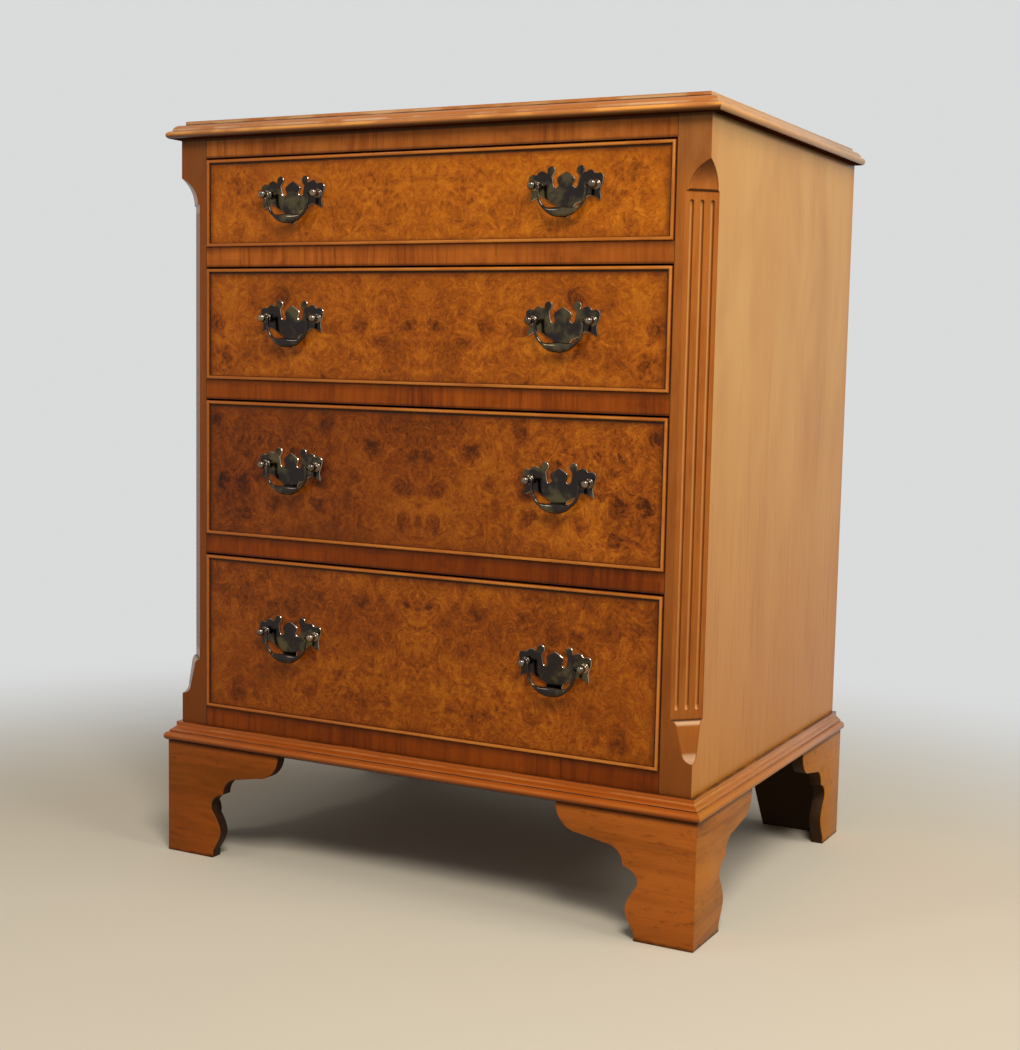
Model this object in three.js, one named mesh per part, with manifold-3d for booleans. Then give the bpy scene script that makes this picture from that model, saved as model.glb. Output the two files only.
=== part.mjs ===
import * as THREE from 'three';
import { mergeVertices } from 'three/addons/utils/BufferGeometryUtils.js';
import Module from 'manifold-3d';

// A bachelor's chest with four graduated drawers, canted fluted corners and bracket feet.
// Millimetres. X runs to the right, Y to the back and Z up. The carcase is drawn with the plane of
// its drawer fronts at Y zero, and the whole chest is then centred over its own footprint.

const wasm = await Module();
wasm.setup();

// Overall sizes
const caseWidth = 605;
const caseDepth = 452;
const footHeight = 125;
const drawerHeights = [91.2, 117, 144.3, 167.7];

// Carcase boards
const sideThickness = 18;
const backThickness = 8;
const postWidth = 33.5;
const postDepth = 28;
const railDepth = 60;
const topRailHeight = 20.9;
const dividerThickness = 20.8;
const bottomRailShow = 20.9;
const bottomRailDepth = 22;
const dustBoardThickness = 12;
const guideHeight = 14;

// Clearances, and the overrun that every cutter has past the face it opens
const drawerSideGap = 0.8;
const drawerTopGap = 2;
const runnerGap = 0.5;
const jointGap = 0.3;
const overrun = 5;

// Moulded edge of the top
const topReach = 12.5;
const topBeadRadius = 3.9;
const topQuirk = 1.3;
const topOvoloWidth = 6;
const topOvoloHeight = 6.6;
const topStep = 4.2;
const topFilletHeight = 4.6;
const topEdgeDepth = 40;

// Base moulding
const baseReach = 15;
const baseBeadRadius = 4.7;
const baseQuirk = 1.8;
const baseCoveHeight = 4.6;
const baseFilletReach = 4.8;
const baseFilletHeight = 4.7;
const baseCoveShare = 0.35;

// Canted corners: the widths of the cut are measured across the front or the side face
const cantWidth = 24;
const scoopDrop = 41;
const scoopHeight = 27.5;
const scoopEndWidth = 21.5;
const pointRise = 31.8;
const bowlHeight = 10;
const bowlWidth = 11.3;
const tongueHeight = 23;
const tongueWidth = 17;
const coveHeight = 6.7;
const ledgeHeight = 1;
const fluteCount = 3;
const fluteRadius = 2;
const fluteSpacing = 10.4;
const fluteTopMargin = 7.5;
const fluteFootMargin = 9.5;

// Bracket feet
const footReach = 11;
const footThickness = 14;
const frontLeg = 61.5;
const sideLeg = 68;
const rearLeg = 56;
const wingWidth = 86;
const wingRadius = 26;
const wingDrop = 28;
const cuspStep = 13.5;
const cuspDrop = 52.5;
const coveRadius = 19.5;
const ankleHeight = 8;
const swellWidth = 10;
const backLegAtFloor = 87;
const backLegAtTop = 121;

// Drawers
const frontThickness = 20;
const beadWidth = 3.5;
const beadProud = 2.5;
const beadHousing = 9;
const boxSideThickness = 10;
const boxBackThickness = 10;
const boxSideDrop = 8;
const boxBackGap = 14;
const bottomThickness = 5;
const bottomRise = 7;
const grooveDepth = 5;
const tailLength = 10;
const tailPitch = 38;
const tailTipShare = 0.72;
const tailRootShare = 0.54;

// Handles
const postSpacing = 64;
const handleInset = 111.2;
const handleLift = 7;
const plateHalfWidth = 39.6;
const plateHeight = 49.4;
const plateThickness = 1.5;
const finialRadius = 4.2;
const finialAcross = 15.4;
const finialUp = 14.2;
const ballReach = 10;
const ballRadius = 4.4;
const neckRadius = 2.6;
const collarRadius = 5.2;
const collarThickness = 1.6;
const boltRadius = 2;
const nutRadius = 5;
const nutThickness = 3.5;
const pinRadius = 1.3;
const pinLength = 5.4;
const boreGap = 0.35;
const eyeRadius = 2.3;
const eyeGap = 0.6;
const bailHalfWidth = 25.2;
const bailDrop = 25.5;
const bailRoundness = 2.8;
const armRadius = 1.6;
const gripHalfHeight = 5;
const gripHalfDepth = 3.3;
const gripHalfLength = 17;

// Outline of the right half of a handle plate, as shares of its half width and of its height:
// from the point in the middle to the root of the finial, then from the finial to the tail
const plateInnerShares = [
  [0, 0.267], [0.121, 0.215], [0.23, 0.146], [0.232, 0.089], [0.197, 0.032], [0.212, -0.018],
  [0.263, -0.038], [0.313, -0.012], [0.338, 0.081], [0.364, 0.174],
];
const plateOuterShares = [
  [0.535, 0.249], [0.636, 0.281], [0.732, 0.255], [0.788, 0.211], [0.889, 0.221], [0.975, 0.186],
  [1, 0.121], [0.975, 0.03], [0.934, -0.061], [0.917, -0.142], [0.939, -0.231], [0.927, -0.289],
  [0.841, -0.261], [0.727, -0.219], [0.621, -0.211], [0.518, -0.259], [0.391, -0.322],
  [0.268, -0.366], [0.22, -0.425], [0.207, -0.506], [0.116, -0.579], [0, -0.632],
];
// Inner edge of a bracket foot between its ankle and its cusp: shares of the swell's width past
// the leg, and of the height between ankle and cusp
const swellShares = [
  [0.75, 0.2], [1, 0.36], [0.55, 0.55], [-0.1, 0.7], [-0.22, 0.79], [0, 0.88], [0.6, 0.96],
];

// How finely round shapes are drawn
const arcSteps = 6;
const ballSteps = 5;
const postSides = 8;
const gripSides = 8;
const gripSteps = 14;
const fluteSides = 8;
const fluteCapSteps = 2;
const boltSides = 8;
const nutSides = 6;

// Sizes and levels that follow
const openingWidth = caseWidth - 2 * postWidth;
const drawerWidth = openingWidth - 2 * drawerSideGap;
const baseHeight = 2 * baseBeadRadius + baseQuirk + baseCoveHeight + baseFilletHeight;
const topThickness = 2 * topBeadRadius + topOvoloHeight + topFilletHeight;
const baseTop = footHeight + baseHeight;
const drawerCount = drawerHeights.length;
const drawerFloors = [];
let level = baseTop + bottomRailShow;
for (let i = drawerCount - 1; i >= 0; i--) {
  drawerFloors[i] = level + runnerGap;
  level = drawerFloors[i] + drawerHeights[i] + drawerTopGap + (i > 0 ? dividerThickness : 0);
}
const topRailFloor = level;
const caseTop = topRailFloor + topRailHeight;
const boxDepth = caseDepth - backThickness - boxBackGap;
const innerWidth = drawerWidth - 2 * boxSideThickness;

// Finishes
const finish = (color, roughness, metalness = 0) =>
  new THREE.MeshStandardMaterial({ color, roughness, metalness });
const burrWalnut = finish(0x9c5416, 0.3);
const beadWalnut = finish(0xa45d20, 0.28);
const crossWalnut = finish(0x7d3a14, 0.35);
const sideWalnut = finish(0xa8703c, 0.32);
const mouldingWalnut = finish(0x9a4c1a, 0.3);
const footWalnut = finish(0x8a4014, 0.35);
const drawerTimber = finish(0xb08a5c, 0.7);
const carcaseTimber = finish(0x6a4628, 0.8);
const antiqueBrass = finish(0x4a4032, 0.35, 1);

// A closed surface from loose places and triangles, turned so that its faces point outwards
function closedSurface(places, triangles) {
  const a = new THREE.Vector3();
  const b = new THREE.Vector3();
  const c = new THREE.Vector3();
  let volume = 0;
  for (let i = 0; i < triangles.length; i += 3) {
    a.fromArray(places, triangles[i] * 3);
    b.fromArray(places, triangles[i + 1] * 3);
    c.fromArray(places, triangles[i + 2] * 3);
    volume += a.dot(b.cross(c));
  }
  const geometry = new THREE.BufferGeometry();
  geometry.setAttribute('position', new THREE.Float32BufferAttribute(places, 3));
  geometry.setIndex(volume < 0 ? [...triangles].reverse() : [...triangles]);
  geometry.computeVertexNormals();
  return geometry;
}

// The same geometry with only its places left, shared where corners meet
function welded(geometry) {
  const bare = geometry.clone();
  bare.deleteAttribute('normal');
  bare.deleteAttribute('uv');
  return mergeVertices(bare);
}

// A solid that can be joined and cut, from a closed geometry
function solid(geometry) {
  const shared = welded(geometry);
  const corners = shared.index.array;
  const kept = [];
  for (let i = 0; i < corners.length; i += 3) {
    const [a, b, c] = corners.slice(i, i + 3);
    if (a !== b && b !== c && c !== a) {
      kept.push(a, b, c);
    }
  }
  return new wasm.Manifold(new wasm.Mesh({
    numProp: 3,
    vertProperties: Float32Array.from(shared.attributes.position.array),
    triVerts: Uint32Array.from(kept),
  }));
}

// The geometry of a joined or cut solid
function surface(body) {
  const { vertProperties, triVerts } = body.getMesh();
  return closedSurface(Array.from(vertProperties), Array.from(triVerts));
}

// The mirror image of a geometry, left for right
function mirrored(geometry) {
  const shared = welded(geometry);
  const places = Array.from(shared.attributes.position.array, (v, i) => (i % 3 === 0 ? -v : v));
  return closedSurface(places, Array.from(shared.index.array));
}

// A rectangular board between two opposite corners
function board(x0, x1, y0, y1, z0, z1) {
  const geometry = new THREE.BoxGeometry();
  const place = geometry.attributes.position;
  for (let i = 0; i < place.count; i++) {
    const x = place.getX(i) < 0 ? x0 : x1;
    const y = place.getY(i) < 0 ? y0 : y1;
    const z = place.getZ(i) < 0 ? z0 : z1;
    place.setXYZ(i, x, y, z);
  }
  return geometry;
}

// A flat outline of pairs, given thickness
function prism(outline, depth) {
  const shape = new THREE.Shape(outline.map(([x, y]) => new THREE.Vector2(x, y)));
  return new THREE.ExtrudeGeometry(shape, { depth, bevelEnabled: false });
}

// An outline drawn in X and Z, with its thickness running to the front from Y zero
function uprightPrism(outline, depth) {
  return prism(outline, depth).rotateX(Math.PI / 2);
}

// Places along a curve of three.js, as pairs
function along(curve, steps = arcSteps) {
  return curve.getPoints(steps).map((p) => [p.x, p.y]);
}

// Places along a round or oval arc
function arc(x, y, across, up, from, to, clockwise = false, steps = arcSteps) {
  return along(new THREE.EllipseCurve(x, y, across, up, from, to, clockwise), steps);
}

// A strip whose section, in pairs of reach and rise, runs through a list of corners. Each corner
// has its place and the directions in which reach and rise grow there.
function strip(section, corners, closed = false) {
  const contour = section.map(([x, y]) => new THREE.Vector2(x, y));
  if (THREE.ShapeUtils.isClockWise(contour)) {
    contour.reverse();
  }
  const places = [];
  for (const { at, reach, rise } of corners) {
    for (const { x, y } of contour) {
      places.push(...at.clone().addScaledVector(reach, x).addScaledVector(rise, y).toArray());
    }
  }
  const count = contour.length;
  const triangles = [];
  const spans = closed ? corners.length : corners.length - 1;
  for (let k = 0; k < spans; k++) {
    const here = k * count;
    const there = ((k + 1) % corners.length) * count;
    for (let i = 0; i < count; i++) {
      const j = (i + 1) % count;
      triangles.push(here + i, here + j, there + j, here + i, there + j, there + i);
    }
  }
  if (!closed) {
    const last = (corners.length - 1) * count;
    for (const [a, b, c] of THREE.ShapeUtils.triangulateShape(contour, [])) {
      triangles.push(c, b, a, last + a, last + b, last + c);
    }
  }
  return closedSurface(places, triangles);
}

// A corner of a level moulding, whose reach grows sideways by (outX, outY)
function mouldingCorner(x, y, z, outX, outY) {
  return {
    at: new THREE.Vector3(x, y, z),
    reach: new THREE.Vector3(outX, outY, 0),
    rise: new THREE.Vector3(0, 0, 1),
  };
}

// Section of the top's edge: a bead below, a quirk, an ovolo, a step and a fillet
function topSection() {
  const beadReach = topReach - topBeadRadius;
  const ovoloFoot = beadReach - topQuirk;
  const ovoloHead = ovoloFoot - topOvoloWidth;
  const beadTop = 2 * topBeadRadius;
  const quarter = Math.PI / 2;
  return [
    [-topEdgeDepth, 0],
    ...arc(beadReach, topBeadRadius, topBeadRadius, topBeadRadius, -quarter, quarter),
    ...arc(ovoloHead, beadTop, topOvoloWidth, topOvoloHeight, 0, quarter),
    [ovoloHead - topStep, beadTop + topOvoloHeight],
    [ovoloHead - topStep, topThickness],
    [-topEdgeDepth, topThickness],
  ];
}

// The top: a panel inside a moulded edge that returns along both sides and stops at the back
function topBoard() {
  const half = caseWidth / 2;
  const edge = strip(topSection(), [
    mouldingCorner(-half, caseDepth, caseTop, -1, 0),
    mouldingCorner(-half, 0, caseTop, -1, -1),
    mouldingCorner(half, 0, caseTop, 1, -1),
    mouldingCorner(half, caseDepth, caseTop, 1, 0),
  ]);
  const inner = half - topEdgeDepth + overrun;
  const front = topEdgeDepth - overrun;
  const panel = board(-inner, inner, front, caseDepth, caseTop, caseTop + topThickness);
  return surface(solid(edge).add(solid(panel)));
}

// Section of the base moulding: a bead below, a quirk, a cove and a fillet
function baseSection() {
  const beadReach = baseReach - baseBeadRadius;
  const coveFoot = 2 * baseBeadRadius + baseQuirk;
  const coveHead = coveFoot + baseCoveHeight;
  const quarter = Math.PI / 2;
  const cove = new THREE.QuadraticBezierCurve(
    new THREE.Vector2(beadReach, coveFoot),
    new THREE.Vector2(
      THREE.MathUtils.lerp(baseFilletReach, beadReach, baseCoveShare),
      THREE.MathUtils.lerp(coveFoot, coveHead, baseCoveShare),
    ),
    new THREE.Vector2(baseFilletReach, coveHead),
  );
  return [
    [0, 0],
    ...arc(beadReach, baseBeadRadius, baseBeadRadius, baseBeadRadius, -quarter, quarter),
    ...along(cove),
    [baseFilletReach, baseHeight],
    [0, baseHeight],
  ];
}

function baseMouldingFront() {
  const half = caseWidth / 2;
  return strip(baseSection(), [
    mouldingCorner(-half, 0, footHeight, -1, -1),
    mouldingCorner(half, 0, footHeight, 1, -1),
  ]);
}

function baseMouldingRight() {
  const half = caseWidth / 2;
  return strip(baseSection(), [
    mouldingCorner(half, jointGap, footHeight, 1, -1),
    mouldingCorner(half, caseDepth, footHeight, 1, 0),
  ]);
}

// Outline of what is cut from a corner, as pairs of depth towards the middle and height. From
// below: a bowl that rises from a point, a tongue, a cove, the cant, a ledge and a scoop.
function cantOutline() {
  const depth = (width) => width * Math.SQRT1_2;
  const point = baseTop + pointRise;
  const bowlTop = point + bowlHeight;
  const tongueTop = bowlTop + tongueHeight;
  const cantFoot = tongueTop + coveHeight;
  const scoopTop = caseTop - scoopDrop;
  const scoopFoot = scoopTop - scoopHeight;
  const quarter = Math.PI / 2;
  const scoopDepth = depth(scoopEndWidth);
  const scoopRadius = (scoopHeight ** 2 + scoopDepth ** 2) / (2 * scoopDepth);
  const scoopTurn = Math.asin(scoopHeight / scoopRadius);
  const bowl = arc(0, bowlTop, depth(bowlWidth), bowlHeight, -quarter, 0);
  const scoop = arc(scoopDepth - scoopRadius, scoopFoot, scoopRadius, scoopRadius, 0, scoopTurn);
  return [
    [-overrun, point],
    ...bowl,
    [depth(tongueWidth), tongueTop],
    [depth(cantWidth), cantFoot],
    [depth(cantWidth), scoopFoot - ledgeHeight],
    ...scoop,
    [-overrun, scoopTop],
  ];
}

// A stopped flute of the right corner, a round-ended groove in the face of the cant
function fluteCutter(offset) {
  const foot = baseTop + pointRise + bowlHeight + tongueHeight + coveHeight + fluteFootMargin;
  const head = caseTop - scoopDrop - scoopHeight - ledgeHeight - fluteTopMargin;
  const length = head - foot - 2 * fluteRadius;
  const groove = new THREE.CapsuleGeometry(fluteRadius, length, fluteCapSteps, fluteSides);
  const across = offset * Math.SQRT1_2;
  const inward = cantWidth / 2;
  groove.rotateX(Math.PI / 2);
  return groove.translate(caseWidth / 2 - inward + across, inward + across, (foot + head) / 2);
}

// The right front post: canted between its two stops and fluted
function frontPostRight() {
  const half = caseWidth / 2;
  const inward = new THREE.Vector3(-1, 1, 0).normalize();
  const up = new THREE.Vector3(0, 0, 1);
  const across = new THREE.Vector3().crossVectors(inward, up);
  const reach = cantWidth + overrun;
  const cutter = prism(cantOutline(), 2 * reach).translate(0, 0, -reach);
  cutter.applyMatrix4(new THREE.Matrix4().makeBasis(inward, up, across));
  cutter.translate(half, 0, 0);
  let post = solid(board(half - postWidth, half, 0, postDepth, footHeight, caseTop));
  post = post.subtract(solid(cutter));
  for (let i = 0; i < fluteCount; i++) {
    const offset = (i - (fluteCount - 1) / 2) * fluteSpacing;
    post = post.subtract(solid(fluteCutter(offset)));
  }
  return surface(post);
}

function sidePanelRight() {
  const half = caseWidth / 2;
  return board(half - sideThickness, half, postDepth, caseDepth, footHeight, caseTop);
}

function backPanel() {
  const half = caseWidth / 2 - sideThickness;
  return board(-half, half, caseDepth - backThickness, caseDepth, footHeight, caseTop);
}

function rail(depth, floor, ceiling) {
  return board(-openingWidth / 2, openingWidth / 2, 0, depth, floor, ceiling);
}

// A board that a drawer runs on, from the back of its rail to the back panel, with a guide strip
// along each side behind the posts
function dustBoard(runningLevel, front) {
  const half = caseWidth / 2 - sideThickness;
  const guide = openingWidth / 2;
  const back = caseDepth - backThickness;
  const behindPosts = Math.max(front, postDepth);
  const underside = runningLevel - dustBoardThickness;
  const guideTop = runningLevel + guideHeight;
  let body = solid(board(-guide, guide, front, back, underside, runningLevel));
  body = body.add(solid(board(-half, -guide, behindPosts, back, underside, guideTop)));
  body = body.add(solid(board(guide, half, behindPosts, back, underside, guideTop)));
  return surface(body);
}

// Face of a bracket foot, from its outer edge at zero: the leg with its swell, the cusp, a cove
// and the wing with its rounded end, which hang below the base moulding by their drops
function bracketOutline(leg) {
  const cusp = leg + cuspStep;
  const wing = leg + wingWidth;
  const wingFloor = footHeight - wingDrop;
  const cuspLevel = footHeight - cuspDrop;
  const span = cuspLevel - ankleHeight;
  const quarter = Math.PI / 2;
  const swell = new THREE.SplineCurve([
    new THREE.Vector2(leg, ankleHeight),
    ...swellShares.map(([x, y]) => new THREE.Vector2(leg + x * swellWidth, ankleHeight + y * span)),
    new THREE.Vector2(cusp, cuspLevel),
  ]);
  return [
    [0, 0],
    [leg, 0],
    ...along(swell, 2 * (swellShares.length + 1)),
    ...arc(cusp + coveRadius, cuspLevel, coveRadius, coveRadius, 2 * quarter, quarter, true).slice(1),
    ...arc(wing - wingRadius, wingFloor + wingRadius, wingRadius, wingRadius, -quarter, 0),
    [wing, footHeight],
    [0, footHeight],
  ];
}

// A bracket with its outer edge at X zero and its inner face at Y zero. A mitred one is cut at 45
// degrees down that edge, to meet its neighbour round the corner.
function bracket(leg, mitre) {
  const geometry = uprightPrism(bracketOutline(leg), footThickness);
  const place = geometry.attributes.position;
  for (let i = 0; mitre && i < place.count; i++) {
    const onEdge = Math.abs(place.getX(i)) < jointGap;
    const inside = Math.abs(place.getY(i)) < jointGap;
    if (onEdge && inside) {
      place.setX(i, footThickness);
    }
  }
  geometry.computeVertexNormals();
  return geometry;
}

// The plain bracket at the back of a rear foot, which fits inside the side bracket
function backBracket() {
  const outline = [
    [footThickness, 0], [backLegAtFloor, 0], [backLegAtTop, footHeight], [footThickness, footHeight],
  ];
  return uprightPrism(outline, footThickness);
}

// Places of the dovetails up the end of a drawer side, as pairs of middle height and pitch
function tailPlaces(height) {
  const sideHeight = height - boxSideDrop;
  const count = Math.round(sideHeight / tailPitch);
  const pitch = sideHeight / count;
  return Array.from({ length: count }, (_, i) => [(i + 1 / 2) * pitch, pitch]);
}

// One dovetail, wider at its tip, or with a gap all round the socket for it
function dovetail(middle, pitch, x0, x1, gap) {
  const tip = pitch * tailTipShare / 2 + gap;
  const root = pitch * tailRootShare / 2 + gap;
  const front = frontThickness - tailLength - gap;
  const back = frontThickness + overrun;
  const slope = (tip - root) / tailLength;
  const heel = root - slope * overrun;
  const outline = [
    [front, middle - tip], [back, middle - heel], [back, middle + heel], [front, middle + tip],
  ];
  const upright = new THREE.Matrix4().makeBasis(
    new THREE.Vector3(0, 1, 0), new THREE.Vector3(0, 0, 1), new THREE.Vector3(1, 0, 0),
  );
  return prism(outline, x1 - x0).applyMatrix4(upright).translate(x0, 0, 0);
}

// The two places of the handles across a drawer
function handleCentres() {
  const centre = drawerWidth / 2 - handleInset;
  return [['left', -centre], ['right', centre]];
}

// A drawer front: rebated all round for the cockbead, grooved for the bottom, with sockets for
// the dovetails and holes for the handle bolts
function drawerFront(height) {
  const half = drawerWidth / 2;
  const inset = beadWidth + jointGap;
  const face = board(-half + inset, half - inset, 0, beadHousing + overrun, inset, height - inset);
  let front = solid(board(-half, half, beadHousing, frontThickness, 0, height));
  front = front.add(solid(face));
  const groove = innerWidth / 2;
  const grooveTop = bottomRise + bottomThickness + jointGap;
  const grooveFloor = frontThickness - grooveDepth;
  const behind = frontThickness + overrun;
  front = front.subtract(solid(board(-groove, groove, grooveFloor, behind, bottomRise, grooveTop)));
  for (const [middle, pitch] of tailPlaces(height)) {
    const inner = half - boxSideThickness - jointGap;
    front = front.subtract(solid(dovetail(middle, pitch, inner, half + overrun, jointGap)));
    front = front.subtract(solid(dovetail(middle, pitch, -half - overrun, -inner, jointGap)));
  }
  const boltLevel = height / 2 + handleLift;
  const holeRadius = boltRadius + jointGap;
  const holeLength = frontThickness + 2 * overrun;
  for (const [, centre] of handleCentres()) {
    for (const side of [-1, 1]) {
      const hole = new THREE.CylinderGeometry(holeRadius, holeRadius, holeLength, boltSides);
      hole.translate(centre + side * postSpacing / 2, frontThickness / 2, boltLevel);
      front = front.subtract(solid(hole));
    }
  }
  return surface(front);
}

// The cockbead round a drawer front: one mitred frame with a half-round nose
function cockbead(height) {
  const half = drawerWidth / 2;
  const nose = beadWidth / 2;
  const section = [
    [0, -beadHousing],
    [beadWidth, -beadHousing],
    ...arc(nose, beadProud - nose, nose, nose, 0, Math.PI),
  ];
  const forward = new THREE.Vector3(0, -1, 0);
  const turns = [[1, 1], [-1, 1], [-1, -1], [1, -1]];
  const corners = turns.map(([x, z]) => ({
    at: new THREE.Vector3(-x * half, 0, z > 0 ? 0 : height),
    reach: new THREE.Vector3(x, 0, z),
    rise: forward,
  }));
  return strip(section, corners, true);
}

// One drawer side, from its outer face to its inner one, grooved for the bottom
function boxSide(height, sign) {
  const outer = sign * drawerWidth / 2;
  const inner = sign * innerWidth / 2;
  const sideTop = height - boxSideDrop;
  const grooveWall = inner + sign * grooveDepth;
  const grooveTop = bottomRise + bottomThickness + jointGap;
  const outline = [
    [outer, 0], [inner, 0], [inner, bottomRise], [grooveWall, bottomRise],
    [grooveWall, grooveTop], [inner, grooveTop], [inner, sideTop], [outer, sideTop],
  ];
  const length = boxDepth - frontThickness;
  let side = solid(uprightPrism(outline, length).translate(0, boxDepth, 0));
  const [x0, x1] = sign > 0 ? [inner, outer] : [outer, inner];
  const keep = board(x0, x1, 0, frontThickness + jointGap, 0, sideTop);
  for (const [middle, pitch] of tailPlaces(height)) {
    side = side.add(solid(dovetail(middle, pitch, x0, x1, 0)).intersect(solid(keep)));
  }
  return side;
}

// The rest of the drawer box: two sides and the back, which stands on the bottom panel
function drawerBox(height) {
  const half = innerWidth / 2 + grooveDepth;
  const backFloor = bottomRise + bottomThickness;
  const backFace = boxDepth - boxBackThickness;
  const back = board(-half, half, backFace, boxDepth, backFloor + jointGap, height - boxSideDrop);
  return surface(boxSide(height, -1).add(boxSide(height, 1)).add(solid(back)));
}

// The bottom panel, with a narrower tongue for the groove in the drawer front
function drawerBottom() {
  const half = innerWidth / 2 + grooveDepth - jointGap;
  const tongue = innerWidth / 2 - jointGap;
  const front = frontThickness - grooveDepth + jointGap;
  const shoulder = frontThickness + jointGap;
  const outline = [
    [-tongue, front], [tongue, front], [tongue, shoulder], [half, shoulder],
    [half, boxDepth], [-half, boxDepth], [-half, shoulder], [-tongue, shoulder],
  ];
  return prism(outline, bottomThickness).translate(0, 0, bottomRise);
}

// Outline of a handle plate, with the line of its posts at height zero
function plateOutline() {
  const placed = ([x, y]) => [x * plateHalfWidth, y * plateHeight];
  const eighth = Math.PI / 4;
  const finial = arc(finialAcross, finialUp, finialRadius, finialRadius, 5 * eighth, -eighth, true);
  const right = [...plateInnerShares.map(placed), ...finial, ...plateOuterShares.map(placed)];
  const left = right.slice(1, -1).map(([x, y]) => [-x, y]).reverse();
  return [...right, ...left];
}

// The right post of a handle: bolt, collar, neck and ball in one turning, with a nut behind the
// drawer front and a bore in the ball for the end of the bail
function handlePostRight() {
  const boltEnd = -frontThickness - nutThickness - boltRadius;
  const collarFoot = plateThickness / 2;
  const collarEdge = plateThickness + collarThickness / 2;
  const collarTop = plateThickness + collarThickness;
  const quarter = Math.PI / 2;
  const neckTurn = Math.asin(neckRadius / ballRadius) - quarter;
  const ball = arc(0, ballReach, ballRadius, ballRadius, neckTurn, quarter, false, ballSteps);
  const profile = [
    [0, boltEnd], [boltRadius, boltEnd], [boltRadius, collarFoot], [collarRadius, collarFoot],
    [collarRadius, collarEdge], [neckRadius, collarTop], ...ball.slice(0, -1),
    [0, ballReach + ballRadius],
  ];
  const turning = new THREE.LatheGeometry(profile.map(([r, y]) => new THREE.Vector2(r, y)), postSides);
  const nut = new THREE.CylinderGeometry(nutRadius, nutRadius, nutThickness, nutSides);
  nut.translate(0, -frontThickness - nutThickness / 2, 0);
  const boreRadius = pinRadius + boreGap;
  const boreLength = pinLength + overrun;
  const boreEnd = bailHalfWidth + eyeGap + pinLength + jointGap - postSpacing / 2;
  const bore = new THREE.CylinderGeometry(boreRadius, boreRadius, boreLength, boltSides);
  bore.rotateZ(quarter).translate(boreEnd - boreLength / 2, ballReach, 0);
  const post = surface(solid(turning).add(solid(nut)).subtract(solid(bore)));
  return post.rotateX(Math.PI).translate(postSpacing / 2, 0, 0);
}

// A handle plate with its two posts
function handlePlate() {
  const plate = solid(uprightPrism(plateOutline(), plateThickness));
  const post = handlePostRight();
  return surface(plate.add(solid(post)).add(solid(mirrored(post))));
}

// Places down one arm, along the grip and up the other arm, in X and Z
function bailPath() {
  const places = [];
  for (let i = 1; i < gripSteps; i++) {
    const turn = Math.PI * i / gripSteps;
    const across = Math.abs(Math.cos(turn)) ** (2 / bailRoundness) * Math.sign(Math.cos(turn));
    const down = Math.sin(turn) ** (2 / bailRoundness);
    places.push([-bailHalfWidth * across, -bailDrop * down]);
  }
  return places;
}

// A bail: pins at both ends, eyes, arms and a swelling grip. Its pins lie on the X axis.
function bail() {
  const depth = new THREE.Vector3(0, 1, 0);
  const station = (x, z, turn, halfHeight, halfDepth) => ({
    at: new THREE.Vector3(x, 0, z),
    reach: new THREE.Vector3(-Math.sin(turn), 0, Math.cos(turn)).multiplyScalar(halfHeight),
    rise: depth.clone().multiplyScalar(halfDepth),
  });
  const eyeFace = bailHalfWidth + eyeGap;
  const pinEnd = eyeFace + pinLength;
  const eighth = Math.PI / 4;
  const ends = (side) => [
    station(side * pinEnd, 0, 0, pinRadius, pinRadius),
    station(side * eyeFace, 0, 0, pinRadius, pinRadius),
    station(side * eyeFace, 0, 0, eyeRadius, eyeRadius),
    station(side * bailHalfWidth, 0, side * eighth, eyeRadius * Math.SQRT2, eyeRadius),
  ];
  const path = bailPath();
  const swung = path.map(([x, z], i) => {
    const [fromX, fromZ] = i > 0 ? path[i - 1] : [-bailHalfWidth, 0];
    const [toX, toZ] = i < path.length - 1 ? path[i + 1] : [bailHalfWidth, 0];
    const turn = Math.atan2(toZ - fromZ, toX - fromX);
    const swell = Math.max(0, 1 - (x / gripHalfLength) ** 2);
    const halfHeight = armRadius + (gripHalfHeight - armRadius) * swell;
    const halfDepth = armRadius + (gripHalfDepth - armRadius) * swell;
    return station(x, z, turn, halfHeight, halfDepth);
  });
  const section = Array.from({ length: gripSides }, (_, i) => {
    const turn = 2 * Math.PI * (i + 1 / 2) / gripSides;
    return [Math.cos(turn), Math.sin(turn)];
  });
  return strip(section, [...ends(-1), ...swung, ...ends(1).reverse()]);
}

// Adds a named mesh to a group, placed and turned about the vertical
function addPiece(group, name, geometry, material, place = [0, 0, 0], turn = 0) {
  const mesh = new THREE.Mesh(geometry, material);
  mesh.name = name;
  mesh.position.set(...place);
  mesh.rotation.z = turn;
  group.add(mesh);
}

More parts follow.
